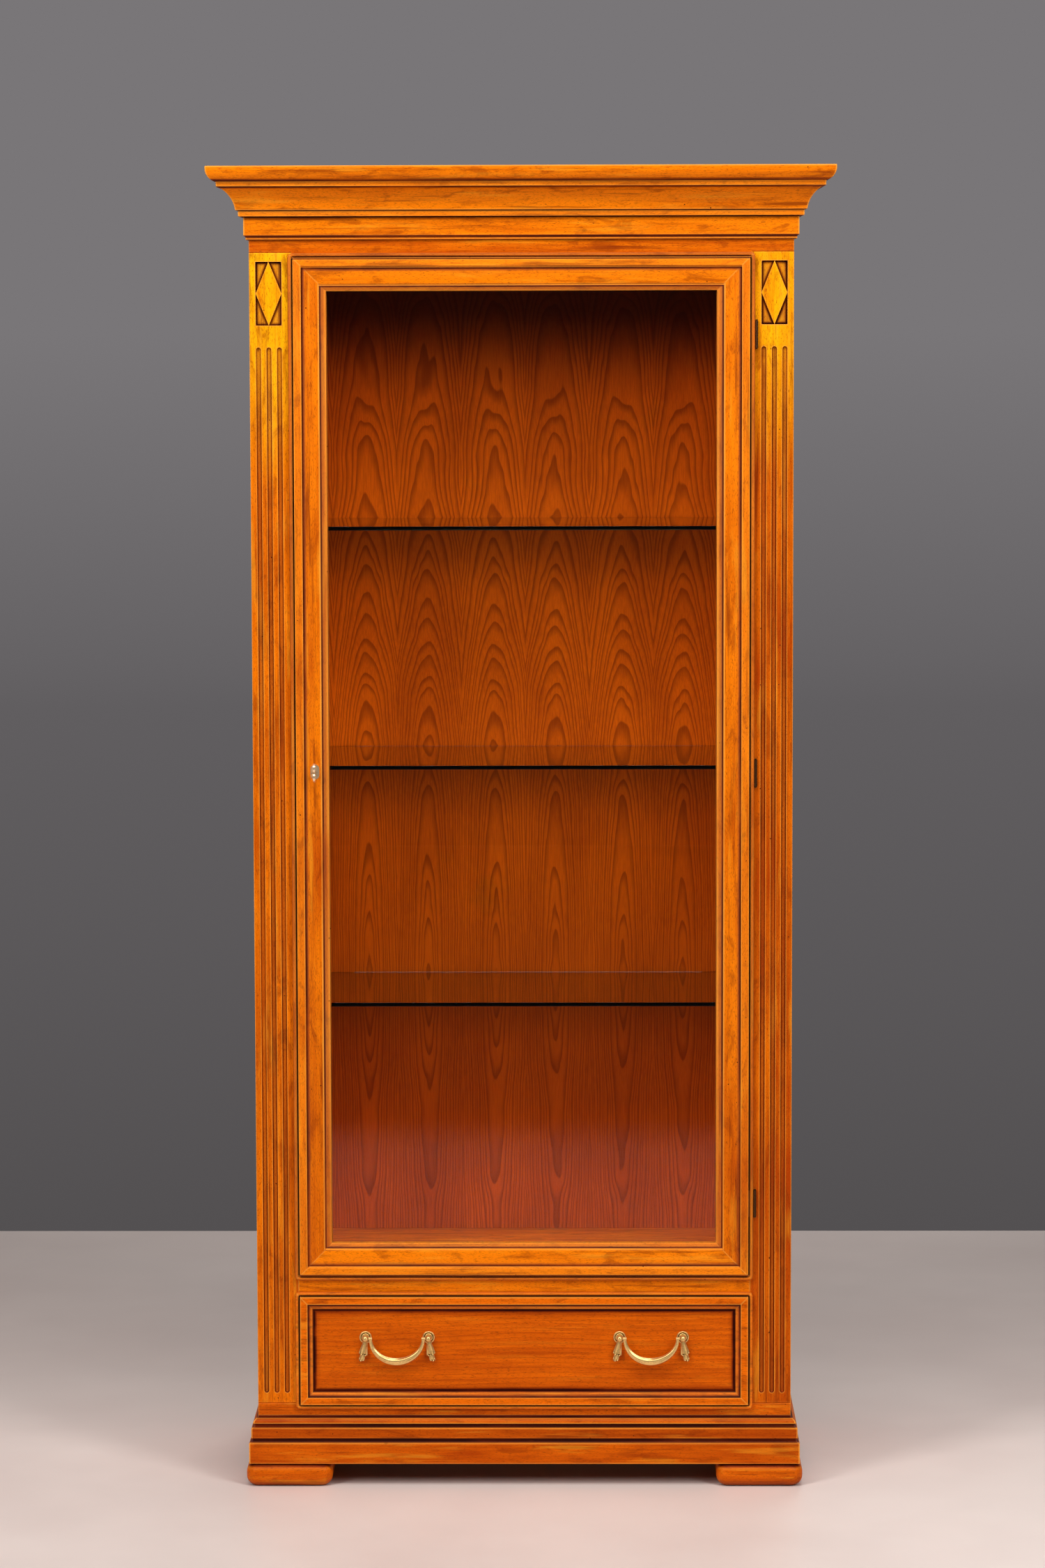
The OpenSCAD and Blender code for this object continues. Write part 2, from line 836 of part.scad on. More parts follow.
// Bow edge-on when the key is at rest; bit down in the case
module key() {
    shank = [-13.6, 17.6];
    collar = [6, 8.2];
    bit = [8, 4, 2];        // length, depth along the shank, thickness
    bow_out = 20;
    bow_t = 3.2;
    ring = [6.5, 7.3, 3.6]; // centre over or under the axis, outer and inner radius
    color(brass) {
        key_rod(key_r, shank[0], shank[1]);
        key_rod(3, collar[0], collar[1]);
        span([key_x - bit[2] / 2, face_y - shank[0] - bit[1], key_z - bit[0]],
            [key_x + bit[2] / 2, face_y - shank[0], key_z]);
        translate([key_x - bow_t / 2, face_y - bow_out, key_z])
            rotate([90, 0, 90])
                linear_extrude(bow_t)
                    difference() {
                        for (s = [-1, 1]) translate([0, s * ring[0]]) circle(r = ring[1]);
                        for (s = [-1, 1]) translate([0, s * ring[0]]) circle(r = ring[2]);
                    }
    }
}

// Drawn back at rest; its tip stays inside the stile
module lock_bolt() {
    tip_x = -door_w / 2 + door_edge_u + 0.2;
    color(steel)
        span([tip_x, face_y - bolt_out[1], bolt_z[0]],
            [tip_x + bolt_l, face_y - bolt_out[0], bolt_z[1]]);
}

// ---------- drawer ----------

module drawer_front() {
    z1 = drawer_z + drawer_h - lip - gap;
    color(wood)
        difference() {
            span([-box_x, face_y, box_z], [box_x, face_y + panel_t, z1]);
            span([-box_x + 6, box_front_y - 6, bottom_z],
                [box_x - 6, box_front_y + e, bottom_z + bottom_t]);
            for (p = pull_posts)
                translate([p[0], box_front_y + e, pull_z])
                    rotate([90, 0, 0])
                        cylinder(r = screw_r + screw_play, h = panel_t + 2 * e);
        }
}

module drawer_moulding() {
    color(wood)
        translate([0, face_y, drawer_z])
            for (side = ["left", "right", "bottom", "top"])
                frame_side(side, drawer_w, drawer_h)
                    frame_member(drawer_member_w + e,
                        drawer_outline(), drawer_bead_outline(), drawer_bead);
}

module drawer_side() {
    difference() {
        span([box_x - box_t, box_front_y, box_z], [box_x, box_front_y + drawer_l, box_z + box_h]);
        span([box_x - box_t - e, box_front_y - e, bottom_z],
            [box_x - box_t + 6, box_front_y + drawer_l - box_t, bottom_z + bottom_t]);
    }
}

module drawer_side_left() { color(veneer) mirror([1, 0, 0]) drawer_side(); }

module drawer_side_right() { color(veneer) drawer_side(); }

module drawer_back() {
    x = box_x - box_t;
    y = box_front_y + drawer_l;
    color(veneer) span([-x, y - box_t, box_z], [x, y, box_z + box_h - 10]);
}

// Bottom board, let into grooves in the front and the sides, and notched round them
module drawer_bottom() {
    x = box_x - box_t + 6;
    color(veneer)
        difference() {
            span([-x, box_front_y - 6, bottom_z],
                [x, box_front_y + drawer_l - box_t, bottom_z + bottom_t]);
            for (s = [0, 1])
                mirror([s, 0, 0])
                    span([box_x - box_t, box_front_y - 7, bottom_z - e],
                        [x + e, box_front_y, bottom_z + bottom_t + e]);
        }
}

// Rosette, neck, ball and screw of each post; the ball is bored for the bail's pin
module pull_mounts() {
    plate = 1.6;            // thickness of the rosette's flat
    bulge = 1.4;
    screw_l = panel_t + 6;
    pin_bore_r = 1.6;
    color(brass)
        for (p = pull_posts)
            translate([p[0], face_y, pull_z])
                difference() {
                    rotate([90, 0, 0]) {
                        cylinder(r = rosette_r, h = plate);
                        translate([0, 0, plate])
                            cylinder(r1 = rosette_r - 0.9, r2 = 6, h = bulge);
                        cylinder(r = neck_r, h = ball_out);
                        translate([0, 0, ball_out]) sphere(r = ball_r);
                        translate([0, 0, -screw_l]) cylinder(r = screw_r, h = screw_l);
                    }
                    translate([-p[1] * (ball_r + e), -ball_out, 0])
                        rotate([0, p[1] * 90, 0])
                            cylinder(r = pin_bore_r, h = ball_r + e + 1);
                }
}

// Ribbon ends: a ring on the neck and a tail that leans outwards
module pull_tassels() {
    tail = [[-3, -3], [4, -2], [9.5, -20], [11.5, -36], [5, -37], [0.5, -24]];
    back_out = 4.2;
    thick = 3;
    color(brass)
        for (p = pull_posts)
            translate([p[0], face_y - back_out, pull_z])
                mirror([p[1] < 0 ? 1 : 0, 0, 0])
                    rotate([90, 0, 0])
                        linear_extrude(thick)
                            difference() {
                                union() {
                                    circle(r = neck_r + 2);
                                    polygon(tail);
                                }
                                circle(r = neck_r + 0.1);
                            }
}

// Hexagon nuts on the screws inside the drawer
module pull_nuts() {
    color(steel)
        for (p = pull_posts)
            translate([p[0], box_front_y, pull_z])
                rotate([-90, 0, 0])
                    difference() {
                        cylinder(r = 4, h = 3.2, $fn = 6);
                        translate([0, 0, -e]) cylinder(r = screw_r, h = 6);
                    }
}

// One arc of the bail, in the XZ plane
module bail_arc(r, section_r, a0, a1) {
    rotate([90, 0, 0])
        rotate([0, 0, a0])
            rotate_extrude(angle = a1 - a0)
                translate([r, 0])
                    circle(r = section_r);
}

// Swag of three arcs that meet at 45 degrees, and a pin into each ball
module bail(x) {
    arc_c = bail_half - bail_side_r;    // centres of the side arcs, and of the middle one
    thin = 2.8;
    thick = 3.9;
    pin_r = 1.5;
    pin_l = 9;
    color(brass)
        translate([x, face_y - ball_out, pull_z]) {
            translate([-arc_c, 0, 0]) bail_arc(bail_side_r, thin, 180, 226);
            translate([arc_c, 0, 0]) bail_arc(bail_side_r, thin, 314, 360);
            translate([0, 0, arc_c]) bail_arc(bail_mid_r, thick, 225, 315);
            for (s = [-1, 1])
                translate([s * (bail_half - 2.6), 0, 0])
                    rotate([0, s * 90, 0]) {
                        cylinder(r = thin, h = 5);
                        cylinder(r = pin_r, h = pin_l);
                    }
        }
}

module bail_left() { bail(-pull_x); }

module bail_right() { bail(pull_x); }

side_panel_left();
side_panel_right();
back_panel();
top_board();
cabinet_floor();
bottom_board();
pilaster_left();
pilaster_right();
lozenge_left();
lozenge_right();
top_rail();
middle_rail();
bottom_rail();
frieze_front();
frieze_left();
frieze_right();
cornice_front();
cornice_left();
cornice_right();
cornice_top();
plinth_front();
plinth_left();
plinth_right();
plinth_back();
foot_front_left();
foot_front_right();
foot_rear_left();
foot_rear_right();
glass_shelf_lower();
glass_shelf_middle();
glass_shelf_upper();
shelf_pins();
drawer_runner_left();
drawer_runner_right();
hinge_frame_leaves();
hinge_pins();
strike_plate();
back_panel_screws();
door_stile_left();
door_stile_right();
door_rail_top();
door_rail_bottom();
door_glass();
glazing_beads();
hinge_door_leaves();
lock_case();
escutcheon();
key();
lock_bolt();
drawer_front();
drawer_moulding();
drawer_side_left();
drawer_side_right();
drawer_back();
drawer_bottom();
pull_mounts();
pull_tassels();
pull_nuts();
bail_left();
bail_right();
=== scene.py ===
"""Looks of the china cabinet: stained cherry, book-matched veneer, glass and aged brass."""
import json
import math
import random

import bmesh
import bpy
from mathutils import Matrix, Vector


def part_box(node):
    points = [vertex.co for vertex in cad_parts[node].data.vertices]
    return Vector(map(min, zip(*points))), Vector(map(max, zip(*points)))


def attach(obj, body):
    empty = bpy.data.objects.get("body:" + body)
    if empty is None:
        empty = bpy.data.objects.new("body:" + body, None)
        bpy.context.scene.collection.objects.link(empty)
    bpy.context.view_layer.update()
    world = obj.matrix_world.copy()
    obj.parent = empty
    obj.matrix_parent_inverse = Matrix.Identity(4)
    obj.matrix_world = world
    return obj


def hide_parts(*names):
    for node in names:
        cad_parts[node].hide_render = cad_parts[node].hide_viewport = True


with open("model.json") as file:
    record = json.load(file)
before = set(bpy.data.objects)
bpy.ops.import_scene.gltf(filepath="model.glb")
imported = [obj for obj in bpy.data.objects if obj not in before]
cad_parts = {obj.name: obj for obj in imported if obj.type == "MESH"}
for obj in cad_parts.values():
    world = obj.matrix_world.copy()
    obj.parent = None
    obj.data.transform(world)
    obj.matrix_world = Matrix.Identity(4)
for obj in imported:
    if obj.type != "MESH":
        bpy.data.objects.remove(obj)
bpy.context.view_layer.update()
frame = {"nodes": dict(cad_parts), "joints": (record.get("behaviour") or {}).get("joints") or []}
nodes = frame["nodes"]
MM = 0.001
SHELVES = ("glass_shelf_lower", "glass_shelf_middle", "glass_shelf_upper")

# Front of the pilasters, read from the frame
face_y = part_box("pilaster_left")[0].y


# --- Camera ------------------------------------------------------------------------------

CAMERA_DISTANCE = 6.915
CAMERA_HEIGHT = 1.746
CAMERA_RIGHT = 0.08
PITCH, ROLL, YAW = 5.566, 0.15, 0.65


def make_camera():
    """A long lens in front of the cabinet, a little over eye height, looking slightly down."""
    data = bpy.data.cameras.new("camera")
    data.sensor_width = 36
    data.lens = 106.27
    data.clip_end = 60
    camera = bpy.data.objects.new("camera", data)
    camera.location = (CAMERA_RIGHT, face_y - CAMERA_DISTANCE, CAMERA_HEIGHT)
    camera.rotation_euler = (
        math.radians(90 - PITCH),
        math.radians(ROLL),
        math.radians(YAW),
    )
    bpy.context.scene.collection.objects.link(camera)
    bpy.context.scene.camera = camera


make_camera()
bpy.context.scene.view_settings.view_transform = "Standard"


# --- Shader tree helpers -----------------------------------------------------------------

def srgb(red, green, blue):
    """A colour given as display values from 0 to 255, in linear light."""
    def linear(value):
        value /= 255
        return value / 12.92 if value <= 0.04045 else ((value + 0.055) / 1.055) ** 2.4
    return (linear(red), linear(green), linear(blue), 1.0)


class Shader:
    """One material's node tree, with a short call for each kind of node that is used."""

    def __init__(self, name):
        self.material = bpy.data.materials.new(name)
        self.material.use_nodes = True
        self.tree = self.material.node_tree
        self.principled = self.tree.nodes["Principled BSDF"]
        self.output = self.tree.nodes["Material Output"]

    def put(self, socket, value):
        if isinstance(value, bpy.types.NodeSocket):
            self.tree.links.new(value, socket)
        else:
            socket.default_value = value

    def node(self, kind, inputs=(), **settings):
        made = self.tree.nodes.new("ShaderNode" + kind)
        for key, value in settings.items():
            setattr(made, key, value)
        for key, value in dict(inputs).items():
            self.put(made.inputs[key], value)
        return made

    def set(self, **values):
        """Sets the Principled sockets, named with underscores for spaces."""
        for key, value in values.items():
            self.put(self.principled.inputs[key.replace("_", " ")], value)

    def math(self, operation, a, b=0.0, clamp=False):
        made = self.node("Math", {0: a, 1: b}, operation=operation, use_clamp=clamp)
        return made.outputs[0]

    def vector(self, operation, a, b):
        made = self.node("VectorMath", {0: a, 1: b}, operation=operation)
        return made.outputs[0]

    def mix(self, share, a, b, blend="MIX"):
        made = self.node("Mix", data_type="RGBA", blend_type=blend)
        self.put(made.inputs["Factor"], share)
        self.put(made.inputs[6], a)
        self.put(made.inputs[7], b)
        return made.outputs[2]

    def span(self, value, low, high, to_low=0.0, to_high=1.0, smooth=True):
        """Maps low..high to to_low..to_high, clamped, and eased at both ends."""
        made = self.node("MapRange", {0: value, 1: low, 2: high, 3: to_low, 4: to_high})
        made.interpolation_type = "SMOOTHSTEP" if smooth else "LINEAR"
        return made.outputs[0]

    def noise(self, vector, scale=1.0, detail=2.0, roughness=0.5, distortion=0.0):
        made = self.node("TexNoise", {
            "Vector": vector, "Scale": scale, "Detail": detail,
            "Roughness": roughness, "Distortion": distortion,
        })
        return made.outputs[0]

    def place(self, axis="Z", shift=(0, 0, 0)):
        """The piece's own coordinates in metres, turned so that the grain runs along Z."""
        own = self.node("TexCoord").outputs["Object"]
        parts = self.node("SeparateXYZ", {0: own}).outputs
        x, y, z = parts
        order = {"X": (y, z, x), "Y": (x, z, y), "Z": (x, y, z)}[axis]
        turned = self.node("CombineXYZ", dict(enumerate(order))).outputs[0]
        return self.vector("ADD", turned, shift)

    def stretched(self, vector, across, along):
        return self.vector("MULTIPLY", vector, (across, across, along))

    def occlusion(self, reach, inside=False, samples=6):
        made = self.node("AmbientOcclusion", {"Distance": reach})
        made.samples = samples
        made.inside = inside
        made.only_local = True
        return made.outputs["AO"]


# --- Materials ---------------------------------------------------------------------------

# Glaze colours; laid by occlusion in the recesses, they also stand for painted shade
GLAZE_AND_SHADE = srgb(122, 46, 8)
GLAZE_AND_SHADE_DEEP = srgb(60, 17, 2)
GLAZE_AND_SHADE_FILTER = (0.06, 0.022, 0.3, 1)
# Wear on the edges, made lighter as a painted highlight
WORN_AND_HIGHLIGHT = srgb(252, 168, 62)
# Greyish haze of glaze residue, used also as a painted sheen on steps and bevels
MAUVE_HAZE_AND_SHEEN = srgb(142, 80, 50)
GOLD_DARK = srgb(240, 146, 4)
GOLD_LIGHT = srgb(255, 194, 10)
BLOTCH = srgb(146, 54, 3)
STREAK = srgb(128, 44, 4)
PORE = srgb(120, 42, 4)
PALE_STREAK = srgb(255, 172, 40)
WORM_HOLE = srgb(58, 18, 4)
BRUISE = srgb(96, 38, 8)
VENEER_DARK, VENEER_LIGHT = srgb(168, 64, 3), srgb(232, 106, 4)
VENEER_LINE = srgb(118, 40, 2)
VENEER_TOP_SHADE = srgb(40, 12, 1)
VENEER_LOW_SHADE = srgb(96, 36, 4)
VENEER_SHADED = srgb(70, 22, 2)
PLY_DARK, PLY_LIGHT = srgb(150, 104, 62), srgb(186, 138, 90)
PLY_LINE = srgb(120, 78, 44)

# How near another face has to be for glaze and painted shade to be held, or for an edge to be
# rubbed and given a painted highlight
RECESS_REACH = 6 * MM
EDGE_REACH = 1.6 * MM


def specks(shader, place, cell, radius, seed):
    """Small round marks scattered through the wood, 1 inside a mark."""
    dots = shader.node("TexVoronoi", {
        "Vector": shader.vector("ADD", place, (seed, seed, seed)),
        "Scale": 1 / cell,
        "Randomness": 1.0,
    })
    size = shader.node("SeparateColor", {0: dots.outputs["Color"]}).outputs[0]
    limit = shader.span(size, 0.3, 1.0, 0.0, radius / cell, smooth=False)
    edge = shader.math("SUBTRACT", limit, dots.outputs["Distance"])
    return shader.span(edge, 0.0, 0.25 * radius / cell)


# What lies on each moulding, from one side of it to the other: the finisher's glaze and wear,
# with painted shade, sheen and highlights. Each stop is (place in millimetres, glaze with
# painted shade, mauve haze with painted sheen, bare wood with painted highlight), the last
# three from 0 to 1.
DOOR_FILM_AND_SHADING = (
    (0, .30, .40, 0), (1, .05, .50, 0), (4.2, 0, .42, 0), (4.8, 0, .15, .7),
    (5.5, .3, .1, .3), (5.9, .8, 0, 0), (7.2, .8, 0, 0), (7.7, 0, 0, .6), (8.8, 0, 0, .1),
    (18.0, 0, 0, .1), (18.8, 0, 0, .7), (19.4, .2, .2, .4), (19.9, .85, 0, 0),
    (21.4, .7, .2, 0), (23.4, .25, .5, 0), (25.5, 0, .08, 0), (43.6, 0, 0, 0),
    (44.8, 0, 0, .8), (45.9, 0, 0, .8), (46.3, .7, .3, 0), (48.2, .9, .2, 0),
    (48.8, 0, .8, 0), (51.5, 0, .6, .1), (54.4, 0, .25, .45), (55.4, 0, .1, .7),
    (56.2, .6, .3, 0), (57, .9, 0, 0))
DRAWER_FILM_AND_SHADING = (
    (0, .25, .25, 0), (1, 0, .15, .1), (3.6, 0, 0, .2), (4.6, 0, 0, .6), (5.2, .55, 0, 0),
    (6.6, .75, 0, 0), (7.2, .2, 0, .5), (8.4, 0, 0, .3), (9.5, 0, 0, 0), (16.8, 0, 0, 0),
    (17.8, 0, 0, .7), (18.4, .6, .2, .2), (19.0, 1, 0, 0), (20.4, .8, .2, 0),
    (22.5, .2, .25, .1), (25.0, 0, .1, .35), (25.8, .6, .1, .1), (27, 1, 0, 0))
# Painted shadow round the sunk drawer panel, with some glaze
PANEL_FILM_AND_SHADING = ((0, 1, 0, 0), (2.2, 1, 0, 0), (3.4, .6, 0, 0), (6.0, .2, 0, 0), (12, 0, 0, 0))
BASE_FILM_AND_SHADING = (
    (0, .3, 0, 0), (0.8, 0, 0, .5), (2.5, 0, 0, 0), (29.8, 0, 0, 0), (31.2, 0, 0, .5),
    (32.4, 0, 0, .4), (33.2, .7, .2, 0), (35.0, 1, 0, 0), (38.6, .8, .1, 0),
    (39.8, .1, 0, .1), (42, .22, 0, 0), (52.4, .22, 0, 0), (53.8, 0, 0, .4),
    (55.0, 0, 0, .4), (55.5, .8, .1, 0), (60.6, 1, 0, 0), (61.3, .1, 0, .6),
    (63, 0, 0, 0), (67.2, .1, .1, .1), (68.6, .2, 0, .5), (69.3, .8, 0, 0), (73, .7, 0, 0))
FRIEZE_FILM_AND_SHADING = (
    (0, .9, 0, 0), (0.8, .4, 0, .3), (2.6, 0, .1, .2), (3.4, .7, .1, 0), (6.2, .8, .1, 0),
    (7.4, .1, 0, .1), (10, 0, 0, 0), (32.2, 0, 0, 0), (33.2, .5, 0, 0), (34.3, 1, 0, 0),
    (34.9, .1, 0, .5), (36.4, 0, 0, .1), (40.6, 0, 0, .2), (41.8, 0, 0, .7),
    (42.6, .8, 0, 0), (44, 1, 0, 0))
CROWN_FILM_AND_SHADING = (
    (0, .9, 0, 0), (0.7, .1, 0, .6), (2.4, 0, 0, 0), (31.0, 0, 0, 0), (32.8, .6, .1, 0),
    (34.4, 1, 0, 0), (35.0, .1, 0, .6), (36.4, 0, 0, .1), (40.2, 0, 0, .2),
    (41.2, 0, 0, .7), (41.9, 1, 0, 0), (44.0, .6, .2, 0), (46.4, 0, 0, 0),
    (61.8, 0, 0, 0), (63.2, .1, 0, .7), (65, 0, 0, .7))
# Painted shade at the top of each foot, under the plinth, and near the floor, with some glaze
FOOT_FILM_AND_SHADING = (
    (0, .7, .3, 0), (2, .35, .5, 0), (7, .2, .3, 0), (11, 0, .05, 0), (25, 0, 0, 0),
    (28, 0, 0, .2), (30.5, .4, 0, 0), (33, .95, 0, 0), (34.8, 1, 0, 0))
# Painted shade in the flutes and a painted highlight on their rims, with some glaze
FLUTE_FILM_AND_SHADING = (
    (0, .3, 0, 0), (1.0, .15, 0, .1), (1.9, .35, 0, 0), (2.7, .6, 0, 0),
    (3.5, .5, 0, 0), (3.9, .05, 0, .4), (4.6, 0, 0, .2), (5.4, 0, 0, 0), (9, 0, 0, 0))
# Painted shade in the sunk field round the lozenge, and a painted highlight on its rim
RECESS_FILM_AND_SHADING = (
    (0, 0, 0, 0), (2.0, 0, 0, 0), (2.5, 0, 0, .9), (3.0, .1, 0, .5), (3.2, 1, 0, 0),
    (5.0, .95, 0, 0), (6.4, .5, .2, 0), (8.5, .2, .35, 0), (14, .15, .35, 0))


def inset(shader, low, high):
    """How far a point lies inside an upright rectangle, from its nearest side."""
    x, _, z = shader.node("SeparateXYZ", {0: shader.place()}).outputs
    side = shader.math("SUBTRACT", high.x, shader.math("ABSOLUTE", x))
    below = shader.math("SUBTRACT", z, low.z)
    above = shader.math("SUBTRACT", high.z, z)
    return shader.math("MINIMUM", side, shader.math("MINIMUM", below, above))


def rise(shader, floor):
    """Height of a point above a level."""
    height = shader.node("SeparateXYZ", {0: shader.place()}).outputs[2]
    return shader.math("SUBTRACT", height, floor)


def flute_reach(shader, middle, pitch, ends):
    """Distance to the centre line of the nearest of three upright flutes."""
    x, _, z = shader.node("SeparateXYZ", {0: shader.place()}).outputs
    across = shader.math("SUBTRACT", shader.math("ABSOLUTE", x), middle)
    nearest = shader.math("ROUND", shader.math("DIVIDE", across, pitch))
    nearest = shader.math("MINIMUM", shader.math("MAXIMUM", nearest, -1.0), 1.0)
    across = shader.math("SUBTRACT", across, shader.math("MULTIPLY", nearest, pitch))
    past = shader.math("MAXIMUM", shader.math("SUBTRACT", z, ends[1]),
                       shader.math("SUBTRACT", ends[0], z))
    past = shader.math("MAXIMUM", past, 0.0)
    return shader.math("SQRT", shader.math("ADD", shader.math("MULTIPLY", across, across),
                                           shader.math("MULTIPLY", past, past)))


def recess_reach(shader, middle, half):
    """Distance into the sunk field round a lozenge, from its rim or the lozenge. 3 mm is
    added, so that the film can also mark the rubbed rim, with a painted highlight, outside the
    field."""
    rim = 0.2 * MM
    x, _, z = shader.node("SeparateXYZ", {0: shader.place()}).outputs
    x = shader.math("ABSOLUTE", shader.math("SUBTRACT", shader.math("ABSOLUTE", x), middle.x))
    z = shader.math("ABSOLUTE", shader.math("SUBTRACT", z, middle.z))
    from_rim = shader.math("MINIMUM", shader.math("SUBTRACT", half.x + rim, x),
                           shader.math("SUBTRACT", half.z + rim, z))
    scale = half.x * half.z / math.hypot(half.x, half.z)
    across = shader.math("ADD", shader.math("DIVIDE", x, half.x),
                         shader.math("DIVIDE", z, half.z))
    from_lozenge = shader.math("MULTIPLY", shader.math("SUBTRACT", across, 1.0), scale)
    nearest = shader.math("MINIMUM", from_rim, from_lozenge)
    return shader.math("ADD", nearest, 3 * MM)


def lay_film_and_shading(shader, colour, position, stops, ragged):
    """Lays glaze with painted shade, haze with painted sheen and rubbed edges with painted
    highlights over the wood along a moulding's width.
    """
    length = stops[-1][0]
    strengths = (1.0, 0.65, 0.85)  # of glaze with painted shade, haze with painted sheen and bare wood with painted highlight, where a stop says 1
    ramp = shader.node("ValToRGB")
    shader.put(ramp.inputs[0], shader.math("DIVIDE", position, length * MM))
    elements = ramp.color_ramp.elements
    elements[0].color = (*stops[0][1:], 1)
    elements[1].color = (*stops[-1][1:], 1)
    for at, *amounts in stops[1:-1]:
        elements.new(at / length).color = (*amounts, 1)
    amounts = shader.node("SeparateColor", {0: ramp.outputs[0]}).outputs
    glaze_and_shade, haze_and_sheen, bare_and_highlight = (
        shader.math("MULTIPLY", amount, shader.math("MULTIPLY", ragged, most), clamp=True)
        for amount, most in zip(amounts, strengths))
    # Glaze and painted shade work like a filter: a thin coat reddens the wood before it darkens
    # it
    coat = shader.node("Gamma", {"Color": GLAZE_AND_SHADE_FILTER,
                                 "Gamma": shader.math("POWER", glaze_and_shade, 1.6)}).outputs[0]
    colour = shader.mix(1.0, colour, coat, blend="MULTIPLY")
    colour = shader.mix(haze_and_sheen, colour, MAUVE_HAZE_AND_SHEEN)
    return shader.mix(bare_and_highlight, colour, WORN_AND_HIGHLIGHT)


def wood(name, axis="Z", seed=0, light=(247, 130, 4), dark=(184, 70, 2),
         glaze_and_shade=1.0, rings=0.5, figure=1.0, lift=0.0, gold_above=None, film_and_shading=(),
         streaks=1.0):
    """Stained and glazed cherry with painted shade and highlights, with the grain along one
    axis.

    glaze_and_shade, rings, figure and streaks set how strongly each of them shows;
    glaze_and_shade also sets the painted shade held in the recesses. lift makes the whole piece
    lighter or darker. Above the height gold_above, the stain was wiped off to a golden yellow.
    film_and_shading holds pairs: a function of the shader that gives the place across a
    moulding, and what lies there, painted shade and highlights among it."""
    shader = Shader(name)
    rand = random.Random(seed)
    shift = tuple(rand.uniform(-3, 3) for _ in range(3))
    grain = shader.place(axis, shift)

    # Broad clouds of stain, then ribbons, then fibres
    cloud = shader.noise(shader.stretched(grain, 16, 4.5), detail=3, distortion=0.6)
    ribbon = shader.noise(shader.stretched(grain, 95, 5), detail=3, roughness=0.6)
    fibre = shader.noise(shader.stretched(grain, 620, 22), detail=2, roughness=0.6)

    # Growth rings of a trunk whose heart lies beside the board
    warped = shader.vector("ADD", grain, shader.vector(
        "MULTIPLY",
        shader.node("TexNoise", {
            "Vector": shader.stretched(grain, 5, 1.6), "Scale": 1.0, "Detail": 1.5,
        }).outputs["Color"],
        (0.05, 0.05, 0.0),
    ))
    ring = shader.node("TexWave", {
        "Vector": shader.stretched(warped, 1, 0), "Scale": 46, "Distortion": 0.0,
    }, wave_type="RINGS", rings_direction="Z", wave_profile="SAW").outputs[0]
    ring = shader.math("POWER", ring, 3.0)

    tone = shader.math("MULTIPLY_ADD", cloud, 1.5 * figure)
    tone.node.inputs[2].default_value = 0.5 - 0.75 * figure + lift
    tone = shader.math("ADD", tone, shader.span(ribbon, 0.3, 0.7, -0.16, 0.16))
    tone = shader.math("ADD", tone, shader.span(fibre, 0.3, 0.7, -0.10, 0.10))
    tone = shader.math("SUBTRACT", tone, shader.math("MULTIPLY", ring, 0.22 * rings),
                       clamp=True)
    colour = shader.mix(tone, srgb(*dark), srgb(*light))
    recess = shader.occlusion(RECESS_REACH)
    if gold_above:
        height = shader.node("SeparateXYZ", {0: shader.place()}).outputs[2]
        height = shader.math("ADD", height, shader.span(cloud, 0.3, 0.7, -0.03, 0.03))
        wiped = shader.span(height, gold_above - 0.16, gold_above + 0.10)
        wiped = shader.math("MULTIPLY", wiped, shader.span(recess, 0.55, 0.92, 0.25, 1.0))
        colour = shader.mix(wiped, colour,
                            shader.mix(tone, GOLD_DARK, GOLD_LIGHT))

    # Blotches where the stain sank in
    blotch = shader.noise(shader.stretched(grain, 52, 17), detail=4, roughness=0.65,
                          distortion=0.8)
    blotch = shader.span(blotch, 0.50, 0.68, 0.0, 0.55 * streaks)
    colour = shader.mix(blotch, colour, BLOTCH)

    # Dark streaks that run with the grain, and short dark pores
    streak = shader.noise(shader.stretched(grain, 110, 4.0), detail=4, roughness=0.7)
    streak = shader.span(streak, 0.52, 0.70, 0.0, 0.72 * streaks)
    colour = shader.mix(streak, colour, STREAK)
    pores = shader.noise(shader.stretched(grain, 1300, 190), detail=2, roughness=0.6)
    pores = shader.span(pores, 0.56, 0.68, 0.0, 0.65)
    colour = shader.mix(pores, colour, PORE)
    pale = shader.noise(shader.stretched(grain, 75, 6.0), detail=3, roughness=0.6)
    pale = shader.span(pale, 0.54, 0.70, 0.0, 0.32 * streaks)
    colour = shader.mix(pale, colour, PALE_STREAK)

    # Glaze held back in the recesses, with painted shade, and rubbed off the edges, with a
    # painted highlight
    ragged = shader.span(ribbon, 0.25, 0.75, -0.10, 0.10)
    recess = shader.math("ADD", recess, ragged)
    held_glaze_and_shade = shader.span(recess, 0.90, 0.55, 0.0, 0.75 * glaze_and_shade)
    deep_glaze_and_shade = shader.span(recess, 0.68, 0.42, 0.0, 1.0 * glaze_and_shade)
    colour = shader.mix(held_glaze_and_shade, colour, GLAZE_AND_SHADE)
    colour = shader.mix(deep_glaze_and_shade, colour, GLAZE_AND_SHADE_DEEP)
    edge = shader.occlusion(EDGE_REACH, inside=True, samples=4)
    # Rubbed edges: real wear with a painted highlight
    rubbed_and_highlit = shader.span(edge, 0.92, 0.55, 0.0, 0.75)
    colour = shader.mix(rubbed_and_highlit, colour, WORN_AND_HIGHLIGHT)
    patchy = shader.span(cloud, 0.32, 0.62, 0.65, 1.1)
    for place, stops in film_and_shading:
        colour = lay_film_and_shading(shader, colour, place(shader), stops, patchy)

